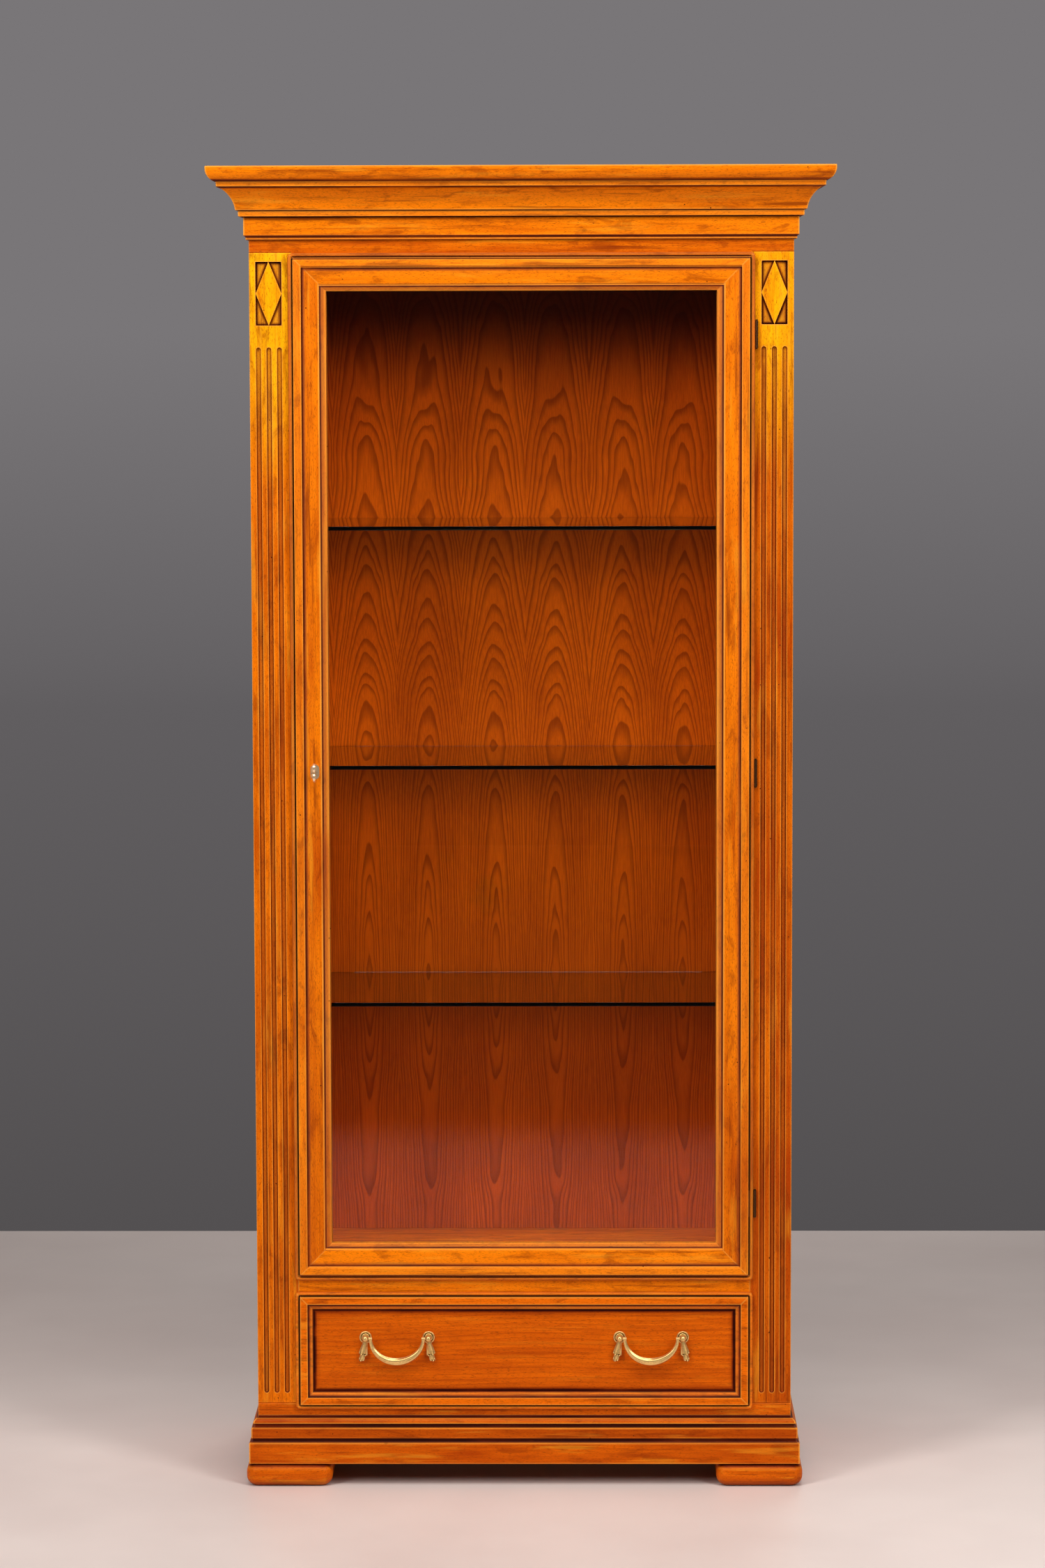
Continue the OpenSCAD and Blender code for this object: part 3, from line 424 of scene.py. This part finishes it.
    # Worm holes and dents
    hole = specks(shader, grain, 0.014, 0.0013, seed + 0.37)
    bruise = specks(shader, shader.stretched(grain, 1, 0.45), 0.034, 0.003, seed + 5.1)
    colour = shader.mix(shader.math("MULTIPLY", hole, 0.95), colour, WORM_HOLE)
    colour = shader.mix(shader.math("MULTIPLY", bruise, 0.35), colour, BRUISE)

    rough = shader.span(fibre, 0.2, 0.8, 0.36, 0.48)
    height = shader.math("MULTIPLY_ADD", fibre, 0.12)
    shader.put(height.node.inputs[2], shader.math("MULTIPLY", ribbon, 0.4))
    height = shader.math("SUBTRACT", height, hole)
    bump = shader.node("Bump", {"Height": height, "Strength": 0.35, "Distance": 0.0007})
    shader.set(Base_Color=colour, Roughness=rough, Normal=bump.outputs[0],
               Specular_IOR_Level=0.06)
    return shader.material


def veneer_back():
    """Book-matched veneer leaves with cathedral figure, all cut from one flitch."""
    leaf = 0.101
    waist_height = 0.74
    year = 3.4 * MM
    shader = Shader("back_veneer")
    own = shader.node("TexCoord").outputs["Object"]
    x, y, z = shader.node("SeparateXYZ", {0: own}).outputs
    count = shader.math("FLOOR", shader.math("DIVIDE", x, leaf))
    # PINGPONG folds x, which mirrors every second leaf
    folded = shader.math("PINGPONG", x, leaf)
    across = shader.math("SUBTRACT", folded, 0.47 * leaf)

    # Distance from the slice to the heart of the trunk, least at the waist of the panel
    waist = shader.math("SUBTRACT", z, waist_height)
    above = shader.math("MAXIMUM", waist, 0.0)
    below = shader.math("MAXIMUM", shader.math("MULTIPLY", waist, -1.0), 0.0)
    wander = shader.node("CombineXYZ", {0: 0.0, 1: 0.0, 2: z}).outputs[0]
    swell = shader.span(shader.noise(wander, 6.5, detail=1.0), 0.3, 0.7, -0.002, 0.002)
    depth = shader.math("MULTIPLY_ADD", above, 0.055)
    depth.node.inputs[2].default_value = 0.010
    depth = shader.math("ADD", depth, shader.math("MULTIPLY", below, 0.045))
    depth = shader.math("ADD", depth, swell)
    # The slice runs faster through the rings between the middle and upper shelf
    depth = shader.math("ADD", depth, shader.span(z, 1.08, 1.46, 0.0, 0.019, smooth=False))
    depth = shader.math("ADD", depth, shader.math("MULTIPLY", count, 0.0007))

    sliced = shader.node("CombineXYZ", {0: across, 1: depth, 2: 0.0}).outputs[0]
    ripple = shader.node("CombineXYZ", {0: folded, 1: depth, 2: z}).outputs[0]
    wobble = shader.noise(shader.stretched(ripple, 26, 7), detail=2.0)
    radius = shader.node("VectorMath", {0: sliced}, operation="LENGTH").outputs["Value"]
    radius = shader.math("ADD", radius, shader.span(wobble, 0.2, 0.8, -0.0016, 0.0016))
    # Good and bad years: the rings are not all as wide
    years = shader.noise(shader.node("CombineXYZ", {0: radius}).outputs[0], 90, detail=1)
    radius = shader.math("ADD", radius, shader.span(years, 0.2, 0.8, -0.0022, 0.0022))
    ring = shader.math("FRACT", shader.math("DIVIDE", radius, year))
    line = shader.math("MULTIPLY",
                       shader.span(ring, 0.35, 0.93, 0.0, 1.0),
                       shader.span(ring, 0.93, 1.0, 1.0, 0.0))

    pores = shader.noise(shader.stretched(ripple, 700, 26), detail=3, roughness=0.65)
    cloud = shader.noise(shader.stretched(own, 9, 3.0), detail=3)
    parity = shader.math("PINGPONG", count, 1.0)
    tone = shader.span(cloud, 0.3, 0.7, 0.35, 0.75)
    tone = shader.math("ADD", tone, shader.span(pores, 0.3, 0.7, -0.18, 0.18))
    tone = shader.math("ADD", tone, shader.math("MULTIPLY", parity, 0.07), clamp=True)
    colour = shader.mix(tone, VENEER_DARK, VENEER_LIGHT)
    share = shader.math("MULTIPLY", line, 0.62)
    colour = shader.mix(share, colour, VENEER_LINE)
    # Painted shade under the top and low down
    aged = shader.span(z, 1.63, 1.79, 0.0, 0.92)
    colour = shader.mix(aged, colour, VENEER_TOP_SHADE)
    low = shader.math("MULTIPLY", shader.span(z, 1.10, 0.50, 0.0, 0.42),
                      shader.span(z, 0.36, 0.54, 0.25, 1.0))
    colour = shader.mix(low, colour, VENEER_LOW_SHADE)
    # Each shelf keeps light off the veneer right below it
    for shelf_name in SHELVES:
        shelf_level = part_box(shelf_name)[0].z
        under = shader.math("MULTIPLY",
                            shader.span(z, shelf_level - 0.13, shelf_level - 0.02, 0.0, 0.5),
                            shader.math("LESS_THAN", z, shelf_level))
        colour = shader.mix(under, colour, VENEER_SHADED)
    # The side towards the wall is plain ply
    outside = shader.math("GREATER_THAN", y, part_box("back_panel")[0].y + 2 * MM)
    ply = shader.mix(tone, PLY_DARK, PLY_LIGHT)
    colour = shader.mix(outside, colour, shader.mix(shader.math("MULTIPLY", line, 0.4),
                                                    ply, PLY_LINE))
    bump = shader.node("Bump", {"Height": pores, "Strength": 0.15, "Distance": 0.0004})
    shader.set(Base_Color=colour, Roughness=0.4, Normal=bump.outputs[0],
               Specular_IOR_Level=0.05)
    return shader.material


def glass(name, box, tint, edge_tint, edge_axes, shade, index=1.5):
    """Clear float glass. Its ground edges face along edge_axes (0, 1, 2 for X, Y, Z). Lamps
    reach through it, less what its two faces throw back and what shade holds back."""
    shader = Shader(name)
    parts = shader.node("SeparateXYZ", {0: shader.place()}).outputs
    is_edge = 0.0
    ground = 0.6 * MM
    for axis in edge_axes:
        middle = (box[0][axis] + box[1][axis]) / 2
        reach = (box[1][axis] - box[0][axis]) / 2 - ground
        away = shader.math("ABSOLUTE", shader.math("SUBTRACT", parts[axis], middle))
        is_edge = shader.math("MAXIMUM", is_edge, shader.math("GREATER_THAN", away, reach))
    colour = shader.mix(is_edge, tint, edge_tint)
    shader.set(Base_Color=colour, Roughness=0.0, IOR=index, Transmission_Weight=1.0)
    thrown = shader.node("Fresnel", {"IOR": index}).outputs[0]
    passed = shader.math("POWER", shader.math("SUBTRACT", 1.0, thrown), 2.0)
    backface = shader.node("NewGeometry").outputs["Backfacing"]
    passed = shader.math("MAXIMUM", passed, backface)
    through = shader.node("BsdfTransparent", {
        "Color": shader.mix(passed, (0, 0, 0, 1), shade)})
    path = shader.node("LightPath")
    both = shader.node("MixShader", {
        0: path.outputs["Is Shadow Ray"],
        1: shader.principled.outputs[0],
        2: through.outputs[0],
    })
    shader.put(shader.output.inputs["Surface"], both.outputs[0])
    return shader.material


def metal(name, light, dark, roughness, grime=1.0, grain=380, metallic=1.0):
    """Cast metal: bright where it is rubbed, tarnished in the hollows."""
    shader = Shader(name)
    own = shader.place()
    mottle = shader.noise(own, grain, detail=3, roughness=0.6)
    hollow = shader.occlusion(1.8 * MM)
    bright = shader.math("ADD", shader.span(mottle, 0.3, 0.7, -0.25, 0.25),
                         shader.span(hollow, 0.35, 0.9, 1.0 - grime, 1.0), clamp=True)
    colour = shader.mix(bright, srgb(*dark), srgb(*light))
    rough = shader.span(bright, 0.0, 1.0, min(1.0, roughness + 0.25), roughness)
    bump = shader.node("Bump", {"Height": mottle, "Strength": 0.25, "Distance": 0.0003})
    shader.set(Base_Color=colour, Metallic=metallic, Roughness=rough,
               Normal=bump.outputs[0])
    return shader.material


# --- Finishes of the CAD nodes -----------------------------------------------------------

GRAIN = {
    "X": """top_board cabinet_floor bottom_board top_rail middle_rail bottom_rail
            frieze_front cornice_front cornice_top plinth_front plinth_back
            foot_front_left foot_front_right foot_rear_left foot_rear_right
            door_rail_top door_rail_bottom drawer_front drawer_moulding
            drawer_back drawer_bottom""",
    "Y": """frieze_left frieze_right cornice_left cornice_right plinth_left plinth_right
            drawer_side_left drawer_side_right drawer_runner_left drawer_runner_right""",
    "Z": """pilaster_left pilaster_right lozenge_left lozenge_right side_panel_left
            side_panel_right door_stile_left door_stile_right""",
}
# How much lighter or darker a piece is than its family
LIFT = {
    "frieze_front": 0.4, "cornice_front": 0.5, "top_rail": -0.1, "middle_rail": 0.6,
    "door_rail_top": 0.5, "door_rail_bottom": 0.6,
    "door_stile_left": 0.1, "door_stile_right": 0.15,
    "pilaster_left": 0.15, "pilaster_right": -0.15,
    "drawer_front": 0.1, "drawer_moulding": 0.5, "plinth_front": -0.05,
    "foot_front_left": 0.2, "foot_front_right": 0.15,
}
RED_LIGHT, RED_DARK = (238, 112, 4), (172, 62, 2)
BARE_LIGHT, BARE_DARK = (214, 160, 104), (176, 116, 66)
LOZENGE_LIGHT, LOZENGE_DARK = (255, 184, 6), (240, 140, 4)
PILASTER_LIGHT, PILASTER_DARK = (240, 122, 4), (176, 64, 2)
GOLD_HEIGHT = 1.66
ARRIS = 0.5 * MM
REDDER = """drawer_front drawer_moulding plinth_front plinth_left plinth_right bottom_rail
            foot_front_left foot_front_right foot_rear_left foot_rear_right""".split()
# Wood inside, which was never stained
PLAIN = """drawer_side_left drawer_side_right drawer_back drawer_bottom drawer_runner_left
           drawer_runner_right plinth_back bottom_board""".split()


def finish_node(name, material):
    """Gives every slot of a CAD node one material, and leaves its mesh alone."""
    for slot in nodes[name].material_slots:
        slot.link = "OBJECT"
        slot.material = material


def ease_edges(name, width):
    """Rounds the arrises as sandpaper and wear would."""
    piece = nodes[name]
    weld = piece.modifiers.new("weld", "WELD")
    weld.merge_threshold = 0.00001
    clean = piece.modifiers.new("clean", "DECIMATE")
    clean.decimate_type = "DISSOLVE"
    clean.angle_limit = math.radians(0.3)
    bevel = piece.modifiers.new("ease", "BEVEL")
    bevel.width = width
    bevel.segments = 2
    bevel.limit_method = "ANGLE"
    bevel.angle_limit = math.radians(32)
    bevel.use_clamp_overlap = True
    normals = piece.modifiers.new("normals", "WEIGHTED_NORMAL")
    normals.mode = "FACE_AREA"


# Shape of the CAD's mouldings, where the frame's boxes don't tell it
DRAWER_MOULDING = 27 * MM
FLUTE_PITCH = 15.6 * MM
FLUTE_RADIUS = 3.7 * MM
FLUTE_FOOT = 0.142
FLUTE_HEAD = 1.7255


def film_and_shading_of(name):
    """The moulding films, with their painted shade and highlights, that a piece carries: pairs
    of a place and its stops.
    """
    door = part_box("door_stile_left")[0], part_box("door_stile_right")[1]
    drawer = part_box("drawer_moulding")
    if name.startswith(("door_stile", "door_rail")):
        return [(lambda shader: inset(shader, *door), DOOR_FILM_AND_SHADING)]
    if name == "drawer_moulding":
        return [(lambda shader: inset(shader, *drawer), DRAWER_FILM_AND_SHADING)]
    if name == "drawer_front":
        rim = Vector((1, 1, 1)) * DRAWER_MOULDING
        return [(lambda shader: inset(shader, drawer[0] + rim, drawer[1] - rim),
                 PANEL_FILM_AND_SHADING)]
    if name.startswith("pilaster"):
        low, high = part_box("lozenge_right")
        middle = (low + high) / 2
        ends = (FLUTE_FOOT + FLUTE_RADIUS, FLUTE_HEAD - FLUTE_RADIUS)
        return [(lambda shader: flute_reach(shader, middle.x, FLUTE_PITCH, ends), FLUTE_FILM_AND_SHADING),
                (lambda shader: recess_reach(shader, middle, (high - low) / 2),
                 RECESS_FILM_AND_SHADING)]
    if name.startswith("foot"):
        return [(lambda shader: rise(shader, 0.0), FOOT_FILM_AND_SHADING)]
    for family, stops in (("plinth", BASE_FILM_AND_SHADING), ("frieze", FRIEZE_FILM_AND_SHADING),
                          ("cornice", CROWN_FILM_AND_SHADING)):
        if name.startswith(family) and name not in ("plinth_back", "cornice_top"):
            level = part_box(family + "_front")[0].z
            return [(lambda shader: rise(shader, level), stops)]
    return []


seed = 1
for axis, names in GRAIN.items():
    for name in names.split():
        seed += 1
        if name in PLAIN:
            material = wood("wood_" + name, axis, seed, light=BARE_LIGHT, dark=BARE_DARK,
                            glaze_and_shade=0.0, rings=0.6)
        elif name.startswith("lozenge"):
            material = wood("wood_" + name, axis, seed, light=LOZENGE_LIGHT,
                            dark=LOZENGE_DARK, glaze_and_shade=0.3)
        elif name.startswith("pilaster"):
            material = wood("wood_" + name, axis, seed, light=PILASTER_LIGHT,
                            dark=PILASTER_DARK, glaze_and_shade=0.55, lift=LIFT[name],
                            gold_above=GOLD_HEIGHT, film_and_shading=film_and_shading_of(name))
        elif name in REDDER:
            calm = {"rings": 1.3, "figure": 0.5, "streaks": 0.3}
            material = wood("wood_" + name, axis, seed, light=RED_LIGHT, dark=RED_DARK,
                            lift=LIFT.get(name, 0.1), film_and_shading=film_and_shading_of(name),
                            **(calm if name == "drawer_front" else {}))
        elif name.startswith("side_panel"):
            material = wood("wood_" + name, axis, seed, lift=0.1, rings=1.0,
                            figure=0.45, streaks=0.4)
        else:
            material = wood("wood_" + name, axis, seed, lift=LIFT.get(name, 0.15),
                            film_and_shading=film_and_shading_of(name))
        finish_node(name, material)
        ease_edges(name, ARRIS)
finish_node("back_panel", veneer_back())

PANE_EDGE = (0.02, 0.05, 0.03, 1)
SHELF_EDGE = (0.0008, 0.0045, 0.0026, 1)
finish_node("door_glass", glass("pane_glass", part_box("door_glass"), (0.95, 0.95, 0.94, 1),
                                PANE_EDGE, (0, 2), (0.93, 0.93, 0.91, 1), 1.26))
shelf = glass("shelf_glass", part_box("glass_shelf_middle"), (0.80, 0.84, 0.80, 1),
              SHELF_EDGE, (0, 1), (0.30, 0.33, 0.30, 1))
for name in SHELVES:
    finish_node(name, shelf)
    ease_edges(name, ARRIS)

brass = metal("aged_brass", (240, 202, 130), (84, 56, 24), 0.33, grime=1.15, metallic=0.8)
bronze = metal("dark_bronze", (92, 62, 38), (40, 22, 12), 0.45)
steel = metal("steel", (190, 190, 188), (120, 118, 114), 0.35, grime=0.4)
METALS = {"aged_brass": brass, "dark_bronze": bronze, "steel": steel}
for name, piece in nodes.items():
    for slot in piece.material_slots:
        if slot.link == "DATA" and slot.material.name in METALS:
            finish_node(name, METALS[slot.material.name])
# Painted highlight: a lighter copy of the brass for the escutcheon and key
bright = metal("highlit_brass", (255, 226, 186), (150, 108, 78), 0.28, metallic=0.8)
finish_node("escutcheon", bright)
finish_node("key", bright)
finish_node("glazing_beads", wood("wood_glazing_beads", "Z", 77))


# --- Cast pulls --------------------------------------------------------------------------

def tube_mesh(rings):
    """A skin over rings of points, each ring with the same count, closed at both ends."""
    count = len(rings[0])
    points = [point for ring in rings for point in ring]
    faces = []
    for i in range(len(rings) - 1):
        for j in range(count):
            k = (j + 1) % count
            faces.append((i * count + j, i * count + k,
                          (i + 1) * count + k, (i + 1) * count + j))
    faces.append(tuple(range(count - 1, -1, -1)))
    last = (len(rings) - 1) * count
    faces.append(tuple(range(last, last + count)))
    return points, faces


def cast(name, parts, body, stands_for, material):
    """One object from several skins, smooth except at sharp creases."""
    mesh = bpy.data.meshes.new(name)
    points, faces = [], []
    for part_points, part_faces in parts:
        start = len(points)
        points += part_points
        faces += [tuple(start + i for i in face) for face in part_faces]
    mesh.from_pydata([tuple(point) for point in points], [], faces)
    sheet = bmesh.new()
    sheet.from_mesh(mesh)
    bmesh.ops.remove_doubles(sheet, verts=sheet.verts, dist=0.000001)
    bmesh.ops.recalc_face_normals(sheet, faces=sheet.faces)
    sheet.to_mesh(mesh)
    sheet.free()
    mesh.shade_smooth()
    piece = bpy.data.objects.new(name, mesh)
    bpy.context.scene.collection.objects.link(piece)
    mesh.set_sharp_from_angle(angle=math.radians(40))
    mesh.materials.append(material)
    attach(piece, body)
    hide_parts(*stands_for)
    return piece


def turned(profile, centre, segments=40):
    """A turned part on the Y axis: profile is [radius, out] in millimetres."""
    rings = []
    for radius, out in profile:
        radius = max(radius, 0.01)
        rings.append([
            (centre[0] + radius * MM * math.cos(turn), centre[1] - out * MM,
             centre[2] + radius * MM * math.sin(turn))
            for turn in (2 * math.pi * j / segments for j in range(segments))])
    return tube_mesh(rings)


def arc_points(r, out, radius, start, end, steps):
    """Arc in [radius, out], angles in degrees from the outward radius."""
    turns = [math.radians(start + (end - start) * i / steps) for i in range(steps + 1)]
    return [(r + radius * math.cos(t), out + radius * math.sin(t)) for t in turns]


def rosette(centre, ball_out, ball_r, rosette_r, neck_r):
    """Rimmed rosette, neck and ball."""
    neck_meets = math.degrees(math.asin(neck_r / ball_r))
    return turned(
        [(0, -2), (rosette_r - 0.2, -2), (rosette_r, -0.1), (rosette_r, 0.9)]
        + arc_points(rosette_r - 1.2, 1.2, 1.2, 0, 160, 6)
        + [(rosette_r - 2.6, 1.0), (rosette_r - 3.1, 1.0)]
        + arc_points(rosette_r - 4.3, 1.4, 1.2, 20, 150, 6)
        + [(neck_r + 0.8, 2.3), (neck_r, 3.2)]
        + arc_points(0, ball_out, ball_r, -90 + neck_meets, 90, 14), centre)


def swag(centre, half, drop, thin, thick, steps=56, around=28):
    """A hanging bail: half an ellipse, with ridges that twist over each other."""
    ridges, ridge_height, groove_depth, turn_over, flatness = 5, 0.22, 0.10, 0.9, 0.85
    rings = []
    for i in range(steps + 1):
        t = math.pi * i / steps
        x, z = -half * math.cos(t), -drop * math.sin(t)
        along = Vector((half * math.sin(t), 0, -drop * math.cos(t))).normalized()
        side = along.cross(Vector((0, 1, 0)))
        swell = math.sin(t) ** 1.5
        radius = thin + (thick - thin) * swell
        twist = turn_over * math.cos(t) * swell
        ring = []
        for j in range(around):
            turn = 2 * math.pi * j / around
            crest = abs(math.cos(ridges / 2 * (turn + twist)))
            ridge = 1 + (ridge_height * crest - groove_depth) * swell ** 0.5
            reach = radius * ridge
            ring.append(Vector(centre) + Vector((x, 0, z)) + side * reach * math.cos(turn)
                        + Vector((0, 1, 0)) * reach * flatness * math.sin(turn))
        rings.append(ring)
    return tube_mesh(rings)


def stub(start, end, radius, segments=20):
    """A short round pin between two points along X."""
    rings = []
    for x, r in ((start, radius * 0.9), (start, radius), (end, radius), (end, radius * 0.9)):
        rings.append([(x[0], x[1] + r * math.cos(turn), x[2] + r * math.sin(turn))
                      for turn in (2 * math.pi * j / segments for j in range(segments))])
    return tube_mesh(rings)


def ribbon(centre, out, stages, folds, depth, hem, around=36, steps=26):
    """A pleated ribbon end. stages are (share, x, z, half width, half thickness) in mm."""
    rings = []
    for i in range(steps + 1):
        share = i / steps
        for low, high in zip(stages, stages[1:]):
            if low[0] <= share <= high[0] + 1e-9:
                break
        part = (share - low[0]) / (high[0] - low[0])
        x, z, half_w, half_t = (a + (b - a) * part for a, b in zip(low[1:], high[1:]))
        ring = []
        for j in range(around):
            turn = 2 * math.pi * j / around
            pleat = 1 + depth * (0.25 + 0.75 * share) * math.cos(folds * turn + 0.6)
            drop = hem * share ** 6 * math.cos(folds * turn / 2 + 0.4)
            ring.append((
                centre[0] + out * (x + half_w * math.cos(turn) * (0.6 + 0.4 * pleat)) * MM,
                centre[1] - (4.6 + half_t * pleat * math.sin(turn)) * MM,
                centre[2] + (z + drop) * MM))
        rings.append(ring)
    return tube_mesh(rings)


def bead(x, out, z, radius, centre, side):
    """A small round bead, [x, out, z] in millimetres from the post."""
    place = (centre[0] + side * x * MM, centre[1] - out * MM, centre[2] + z * MM)
    return turned(arc_points(0, 0, radius, -90, 90, 8), place, segments=14)


def ribbon_end(centre, side):
    """The two tails of the bow under one ball, the lower one curled."""
    wide = [(0, 0.0, -3.0, 3.1, 1.4), (0.25, 0.8, -9.0, 4.0, 2.2),
            (0.7, 2.6, -18.0, 5.2, 2.9), (0.93, 3.6, -24.0, 5.9, 3.4),
            (1, 3.7, -25.6, 5.3, 2.8)]
    curl = [(0, 3.2, -20.0, 3.2, 1.6), (0.5, 4.5, -28.0, 4.0, 2.2),
            (0.8, 5.3, -33.0, 4.4, 2.6), (1, 5.6, -35.2, 3.4, 1.8)]
    band = turned([(2.7, 2.4), (4.3, 2.4), (4.6, 3.2), (4.3, 4.0), (2.7, 4.0)], centre)
    beads = [bead(x, out, z, r, centre, side) for x, out, z, r in (
        (8.8, 5.6, -22.8, 1.3), (6.2, 8.0, -25.4, 1.3), (3.2, 8.0, -26.0, 1.2),
        (0.2, 7.0, -27.0, 1.3), (8.8, 6.0, -31.6, 1.3), (3.6, 6.8, -34.4, 1.3),
        (7.0, 6.6, -35.0, 1.3))]
    return [band, ribbon(centre, side, wide, 6, 0.36, 1.5),
            ribbon(centre, side, curl, 5, 0.36, 1.2), *beads]


def make_pulls(material):
    """Two pulls, each with two rosettes and ribbon ends, and a bail that swings."""
    joints = {joint["child"]: joint["pos_m"] for joint in frame["joints"]
              if joint["child"].endswith("_bail")}
    post_gap, out = 48 * MM, 12
    half_span, pin, inward, outward = 40 * MM, 2.5 * MM, 2.4 * MM, 3.0 * MM
    mounts, tails = [], []
    for body, (x, y, z) in joints.items():
        for side in (-1, 1):
            post = (x + side * post_gap, y + out * MM, z)
            mounts.append(rosette(post, out, ball_r=4.75, rosette_r=9.45, neck_r=2.5))
            tails += ribbon_end(post, side)
        bail = [swag((x, y, z), half_span, drop=35.3 * MM, thin=2.35 * MM, thick=5.3 * MM)]
        for side in (-1, 1):
            end = x + side * half_span
            bail.append(stub((end - side * inward, y, z), (end + side * outward, y, z), pin))
        node = "bail_left" if x < 0 else "bail_right"
        cast(node + "_cast", bail, body, [node], material)
    cast("pull_rosettes", mounts, "drawer", ["pull_mounts"], material)
    cast("pull_ribbons", tails, "drawer", ["pull_tassels"], material)


make_pulls(brass)


# --- Feet --------------------------------------------------------------------------------

def pad_outline(low, high, inset_by, radius, z, steps=8):
    """A square with round corners, drawn in by inset_by."""
    ring = []
    radius = max(radius - inset_by, 2 * MM)
    corners = ((high.x, high.y, 0), (low.x, high.y, 90), (low.x, low.y, 180),
               (high.x, low.y, 270))
    for x, y, start in corners:
        towards_x = -1 if x == high.x else 1
        towards_y = -1 if y == high.y else 1
        centre = (x + towards_x * (inset_by + radius), y + towards_y * (inset_by + radius))
        for i in range(steps + 1):
            turn = math.radians(start + 90 * i / steps)
            ring.append((centre[0] + radius * math.cos(turn),
                         centre[1] + radius * math.sin(turn), z))
    return ring


def make_foot(name):
    """A square pad with a full round nose all round. under and over are the nose's
    radii below and above its widest place."""
    low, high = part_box(name)
    under, over, corner = 15.5 * MM, 13.0 * MM, 17 * MM
    rings = []
    steps = 10
    for i in range(steps + 1):
        turn = math.radians(90 * i / steps)
        rings.append(pad_outline(low, high, under * (1 - math.sin(turn)), corner,
                                 low.z + under * (1 - math.cos(turn))))
    for i in range(steps, -1, -1):
        turn = math.radians(90 * i / steps)
        rings.append(pad_outline(low, high, over * (1 - math.sin(turn)), corner,
                                 high.z - over * (1 - math.cos(turn))))
    material = nodes[name].material_slots[0].material
    cast(name + "_pad", [tube_mesh(rings)], "carcass", [name], material)


for corner_name in ("front_left", "front_right", "rear_left", "rear_right"):
    make_foot("foot_" + corner_name)


# --- Stage: floor, light, backdrop -------------------------------------------------------

def make_floor():
    """A pale floor that ends behind the cabinet, where the backdrop takes over."""
    half_width, back, front = 9.0, 1.83, -9.0
    light_ends, dark_starts = -2.95, -3.5
    mesh = bpy.data.meshes.new("floor")
    mesh.from_pydata(
        [(-half_width, front, 0), (half_width, front, 0),
         (half_width, back, 0), (-half_width, back, 0)], [], [(0, 1, 2, 3)])
    floor = bpy.data.objects.new("floor", mesh)
    bpy.context.scene.collection.objects.link(floor)
    shader = Shader("pale_floor")
    own = shader.place()
    cloud = shader.noise(own, 1.7, detail=4)
    colour = shader.mix(shader.span(cloud, 0.3, 0.7), srgb(230, 215, 210),
                        srgb(240, 227, 222))
    # Painted shade: the floor darkens towards the backdrop, and towards the unlit room in front
    y = shader.node("SeparateXYZ", {0: own}).outputs[1]
    rear = shader.span(y, -0.4, 1.6, 0.0, 0.30)
    colour = shader.mix(rear, colour, srgb(150, 140, 137))
    unlit = shader.span(y, light_ends, dark_starts)
    colour = shader.mix(unlit, colour, srgb(60, 56, 55))
    rough = shader.span(shader.noise(own, 9, detail=4), 0.3, 0.7, 0.42, 0.48)
    shader.set(Base_Color=colour, Roughness=rough)
    mesh.materials.append(shader.material)


def make_world():
    """Plain grey backdrop behind, brighter upwards, and a dark room in front."""
    world = bpy.data.worlds.new("studio")
    bpy.context.scene.world = world
    world.use_nodes = True
    tree = world.node_tree
    coord = tree.nodes.new("ShaderNodeTexCoord")
    parts = tree.nodes.new("ShaderNodeSeparateXYZ")
    tree.links.new(coord.outputs["Generated"], parts.inputs[0])
    wall = None
    # Each layer starts and ends at a sine of the elevation, and leads to a colour above it
    layers = ((-0.20, -0.07, srgb(98, 95, 97)), (-0.08, 0.0, srgb(121, 118, 120)))
    for start, end, above in layers:
        climb = tree.nodes.new("ShaderNodeMapRange")
        climb.inputs[1].default_value = start
        climb.inputs[2].default_value = end
        tree.links.new(parts.outputs[2], climb.inputs[0])
        layer = tree.nodes.new("ShaderNodeMix")
        layer.data_type = "RGBA"
        layer.inputs[6].default_value = srgb(82, 79, 80)
        if wall:
            tree.links.new(wall.outputs[2], layer.inputs[6])
        layer.inputs[7].default_value = above
        tree.links.new(climb.outputs[0], layer.inputs["Factor"])
        wall = layer
    ahead = tree.nodes.new("ShaderNodeMapRange")
    ahead.inputs[1].default_value = -0.25
    ahead.inputs[2].default_value = 0.25
    tree.links.new(parts.outputs[1], ahead.inputs[0])
    room = tree.nodes.new("ShaderNodeMix")
    room.data_type = "RGBA"
    room.inputs[6].default_value = srgb(46, 44, 44)
    tree.links.new(ahead.outputs[0], room.inputs["Factor"])
    tree.links.new(wall.outputs[2], room.inputs[7])
    tree.links.new(room.outputs[2], tree.nodes["Background"].inputs[0])


def make_lamp(name, at, aim, size, watts):
    """A soft, slightly warm area light that faces a point."""
    data = bpy.data.lights.new(name, "AREA")
    data.shape = "RECTANGLE"
    data.size, data.size_y = size
    data.energy = watts
    data.color = (1.0, 0.97, 0.93)
    lamp = bpy.data.objects.new(name, data)
    lamp.location = at
    lamp.rotation_euler = (Vector(aim) - Vector(at)).to_track_quat("-Z", "Y").to_euler()
    bpy.context.scene.collection.objects.link(lamp)


make_floor()
make_world()
make_lamp("soft_left", at=(-3.0, -3.5, 3.5), aim=(0, 0, 1.0), size=(1.3, 3.0), watts=118)
make_lamp("soft_right", at=(3.0, -3.5, 3.5), aim=(0, 0, 1.0), size=(1.3, 3.0), watts=109)
make_lamp("overhead", at=(0, -1.9, 3.9), aim=(0, -1.2, 0), size=(3.0, 1.3), watts=75)
make_lamp("rear_fill", at=(0.6, 3.6, 3.6), aim=(0, 0, 0.9), size=(2.0, 2.0), watts=45)
